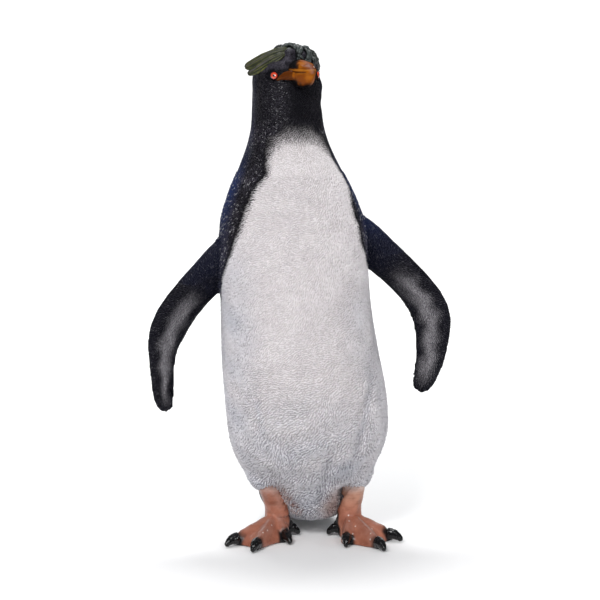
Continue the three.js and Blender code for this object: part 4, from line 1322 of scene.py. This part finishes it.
for side, turn in TURNS.items():
    crest = None
    for index, plume in enumerate(PLUMES[side]):
        sized = smooth_line(plume, PLUME_RINGS)
        line = sized[:, :3] * (turn, 1, 1)
        out = unit(line * (1, 1, 0.75) - (0, 2, 0))
        half_wide, half_deep = np.maximum(sized[:, 3:], 0.1).T
        leaf = skinned("crest_cast_" + side, from_head(sweep(line, out, half_wide, half_deep, PLUME_SIDES)))
        wide = with_ends(np.tile(np.cos(angles_round(PLUME_SIDES)), PLUME_RINGS), 0, 0)
        share = with_ends(np.repeat(np.linspace(0, 1, PLUME_RINGS), PLUME_SIDES), 0, 1)
        points, facing = surface(leaf)
        uneven = waves(points, 0.012, 51 + index)
        veins = np.cos(2 * math.pi * (wide * 2.1 + 0.10 * uneven))
        fine = np.sin(wide * 19 + 2.0 * uneven + 3 * share)
        barbs = np.sin(2 * math.pi * (share * 30 - np.abs(wide) * 2.5) + uneven)
        body = step(share, 0.02, 0.12) * (1 - step(share, 0.9, 1.0))
        lift = (0.40 * veins + 0.18 * fine + 0.10 * barbs) * body + 0.2 * uneven
        if side == "left":
            lift += 0.5 * waves(points, 0.005, 55)
        move_points(leaf, points + facing * lift[:, None] / 1000)
        store(leaf, rib=veins * 0.6 + fine * 0.45 + barbs * 0.25 - 0.7 * step(share, 0.7, 1.0))
        brushed = bump(wide, 0.15 if index else -0.1, 0.42)
        brushed *= step(share, 0.2, 0.4) * (1 - step(share, 0.75, 0.9))
        store(leaf, middle=brushed * (1 if index else 0.45) * (side == "right"))
        store(leaf, moss=(side == "left") + 0.5 * (1 - step(share, 0.1, 0.4)))
        crest = join(crest, leaf)
    crest.data.materials.append(olive)
    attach(crest, "root")
    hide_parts("crest_" + side)

# ---- crown ---------------------------------------------------------------------------------------
# Rope-like tufts modelled on the crown, from the root of the bill back over the head. Two of them curl
# round on themselves over the right brow. Painted green black and dry-brushed.

TUFT_SIDES, TUFT_RINGS = 24, 80
# Each strand runs forward to back: millimetres to the left, ahead and up from the head's centre, and
# the strand's radius there. Six lie side by side over the left of the crown.
SIX = 6
strands = []
for index in range(SIX):
    aside = 3.0 + 3.3 * index
    drop = 0.024 * aside**2
    strands.append((
        (aside * 0.70, 31.5, 17.5 - drop, 1.0),
        (aside * 0.85, 28.5, 24 - drop, 2.2),
        (aside, 21, 31 - drop, 2.5),
        (aside, 10, 34.5 - drop, 2.5),
        (aside * 0.9, -4, 33.5 - drop, 2.2),
        (aside * 0.8, -14, 30.5 - drop, 1.2),
    ))
# Two curl round on themselves over the right brow, and two more lie behind them.
CURLED = (SIX, SIX + 1)
strands += [
    (
        (-13.5, 19, 23.5, 1.2), (-12.8, 17, 28, 2.6), (-9.5, 16, 33, 3.0), (-4.5, 17.5, 35, 3.0),
        (-0.4, 21, 33, 2.9), (1.6, 26, 27.5, 2.8), (1.0, 29.5, 21, 2.3), (0.5, 31, 17, 1.0),
    ),
    (
        (-9.5, 23, 21, 1.6), (-9.0, 22.5, 25.5, 3.0), (-6.0, 22, 29.5, 3.2), (-3.0, 24, 27, 2.6),
        (-2.5, 27, 21, 1.4),
    ),
    ((-5, 5, 33.5, 1.4), (-8, -4, 32, 2.4), (-9, -13, 28.5, 1.2)),
    ((-1, 12, 35.0, 1.4), (-1.5, 0, 34.2, 2.4), (-2, -13, 30.0, 1.2)),
]

mossy, place = finish_of("crown_paint", rough=0.4, specular=0.3)
speck = place.noise(300.0, 3.0, 0.65)
brushed = value_of(mossy, "rib").between(0.25, 1.0) * speck.between(0.30, 0.50)
brushed.mix((0.0025, 0.0035, 0.0035), (0.046, 0.056, 0.054)).feed("Base Color")
(0.25 + speck * 0.2).feed("Roughness")

crown = None
for index, rows in enumerate(strands):
    curled = index in CURLED
    sized = smooth_line(rows, TUFT_RINGS)
    line, out = from_head(sized[:, :3]), unit(sized[:, :3] * (1, 1, 0.9))
    if curled:
        out = unit(sized[:, :3] * (1, 1, 0.9) + (0, 12, 0))
    else:
        seat, seat_facing = settle(line)
        line = seat + seat_facing * sized[:, 3:] * 0.6 / 1000
        for _ in range(2):
            line[1:-1] = (line[:-2] + 2 * line[1:-1] + line[2:]) / 4
    local = np.stack(on_head(line), 1)[:, [1, 0, 2]]
    waists = np.sin(np.arange(TUFT_RINGS) / TUFT_RINGS * 15 * math.pi + index * 1.7)
    knots = 1 + (0.05 if curled else 0.2) * waists
    wide = np.maximum(sized[:, 3], 0.1) * knots
    tuft = skinned("crown_tufts", from_head(sweep(local, out, wide * 0.95, wide, TUFT_SIDES)))
    high = np.maximum(np.sin(angles_round(TUFT_SIDES)), 0) ** 1.2
    points, facing = surface(tuft)
    move_points(tuft, points + facing * (0.22 * waves(points, 0.004, 71 + index))[:, None] / 1000)
    store(tuft, rib=with_ends(high[None] * (knots[:, None] * 1.6 - 0.7), 0, 0))
    crown = join(crown, tuft)
crown.data.materials.append(mossy)
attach(crown, "root")

# ---- tail ----------------------------------------------------------------------------------------
# The stiff tail feathers are modelled on the tail in a fan, each a flat vane with a raised shaft. They
# are cast with it and painted black.

VANES = 15
VANE_SIDES, VANE_RINGS = 32, 60
# Down a vane: how far behind the tail's root in metres, and how high it starts looking for the skin.
DOWN_TAIL = ((0.036, 0.062), (0.055, 0.052), (0.072, 0.038), (0.088, 0.025), (0.101, 0.016), (0.111, 0.010))
TAIL_MIDDLE = 0.0112
OFF_GROUND = 0.0003
VANE_PAINT = {"white": 0, "grey": 0, "blue": 0.3, "dry": 0.55, "wash": 0, "rust": 0, "tint": -0.3}

fan = None
for index in sorted(range(VANES), key=lambda k: -abs(k - VANES // 2)):
    turn = (index - VANES // 2) / (VANES // 2)
    short = 1 - 0.16 * turn**2
    rows = []
    for back, high in DOWN_TAIL:
        back = DOWN_TAIL[0][0] + (back - DOWN_TAIL[0][0]) * short
        spread = np.interp(back, (0.036, 0.060, 0.088, 0.111), (0.030, 0.037, 0.031, 0.017))
        rows.append((TAIL_MIDDLE + turn * spread, back, high))
    line, out = settle(smooth_line(rows, VANE_RINGS))
    share = np.linspace(0, 1, VANE_RINGS)
    line = line + out * (0.0004 + 0.0009 * (1 - abs(turn)))
    wide = np.interp(share, (0, 0.15, 0.7, 0.92, 1), (0.003, 0.0038, 0.0045, 0.0034, 0.0004))
    deep = np.interp(share, (0, 0.1, 0.9, 1), (0.0004, 0.0009, 0.0008, 0.0002))
    vane = skinned("tail_vanes", sweep(line, out, wide, deep, VANE_SIDES))
    angles = angles_round(VANE_SIDES)
    shaft = bump(np.cos(angles), 0, 0.3) * (np.sin(angles) > 0)
    edges = 0.35 * (1 - np.abs(np.cos(angles)))
    barbs = 0.15 * np.sin(share * 150)[:, None] * (1 - shaft)[None]
    points, facing = surface(vane)
    raised = with_ends(np.tile(shaft, VANE_RINGS), 0, 0) * 0.0006
    points += facing * raised[:, None]
    points[:, 2] = np.maximum(points[:, 2], OFF_GROUND)
    move_points(vane, points)
    store(vane, ridge=with_ends(shaft[None] * 0.5 + edges[None] + 0.3 + barbs, 0.3, 0.3))
    store(vane, **{key: np.full(len(points), float(level)) for key, level in VANE_PAINT.items()})
    fan = join(fan, vane)
fan.data.materials.append(relief)
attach(fan, "root")
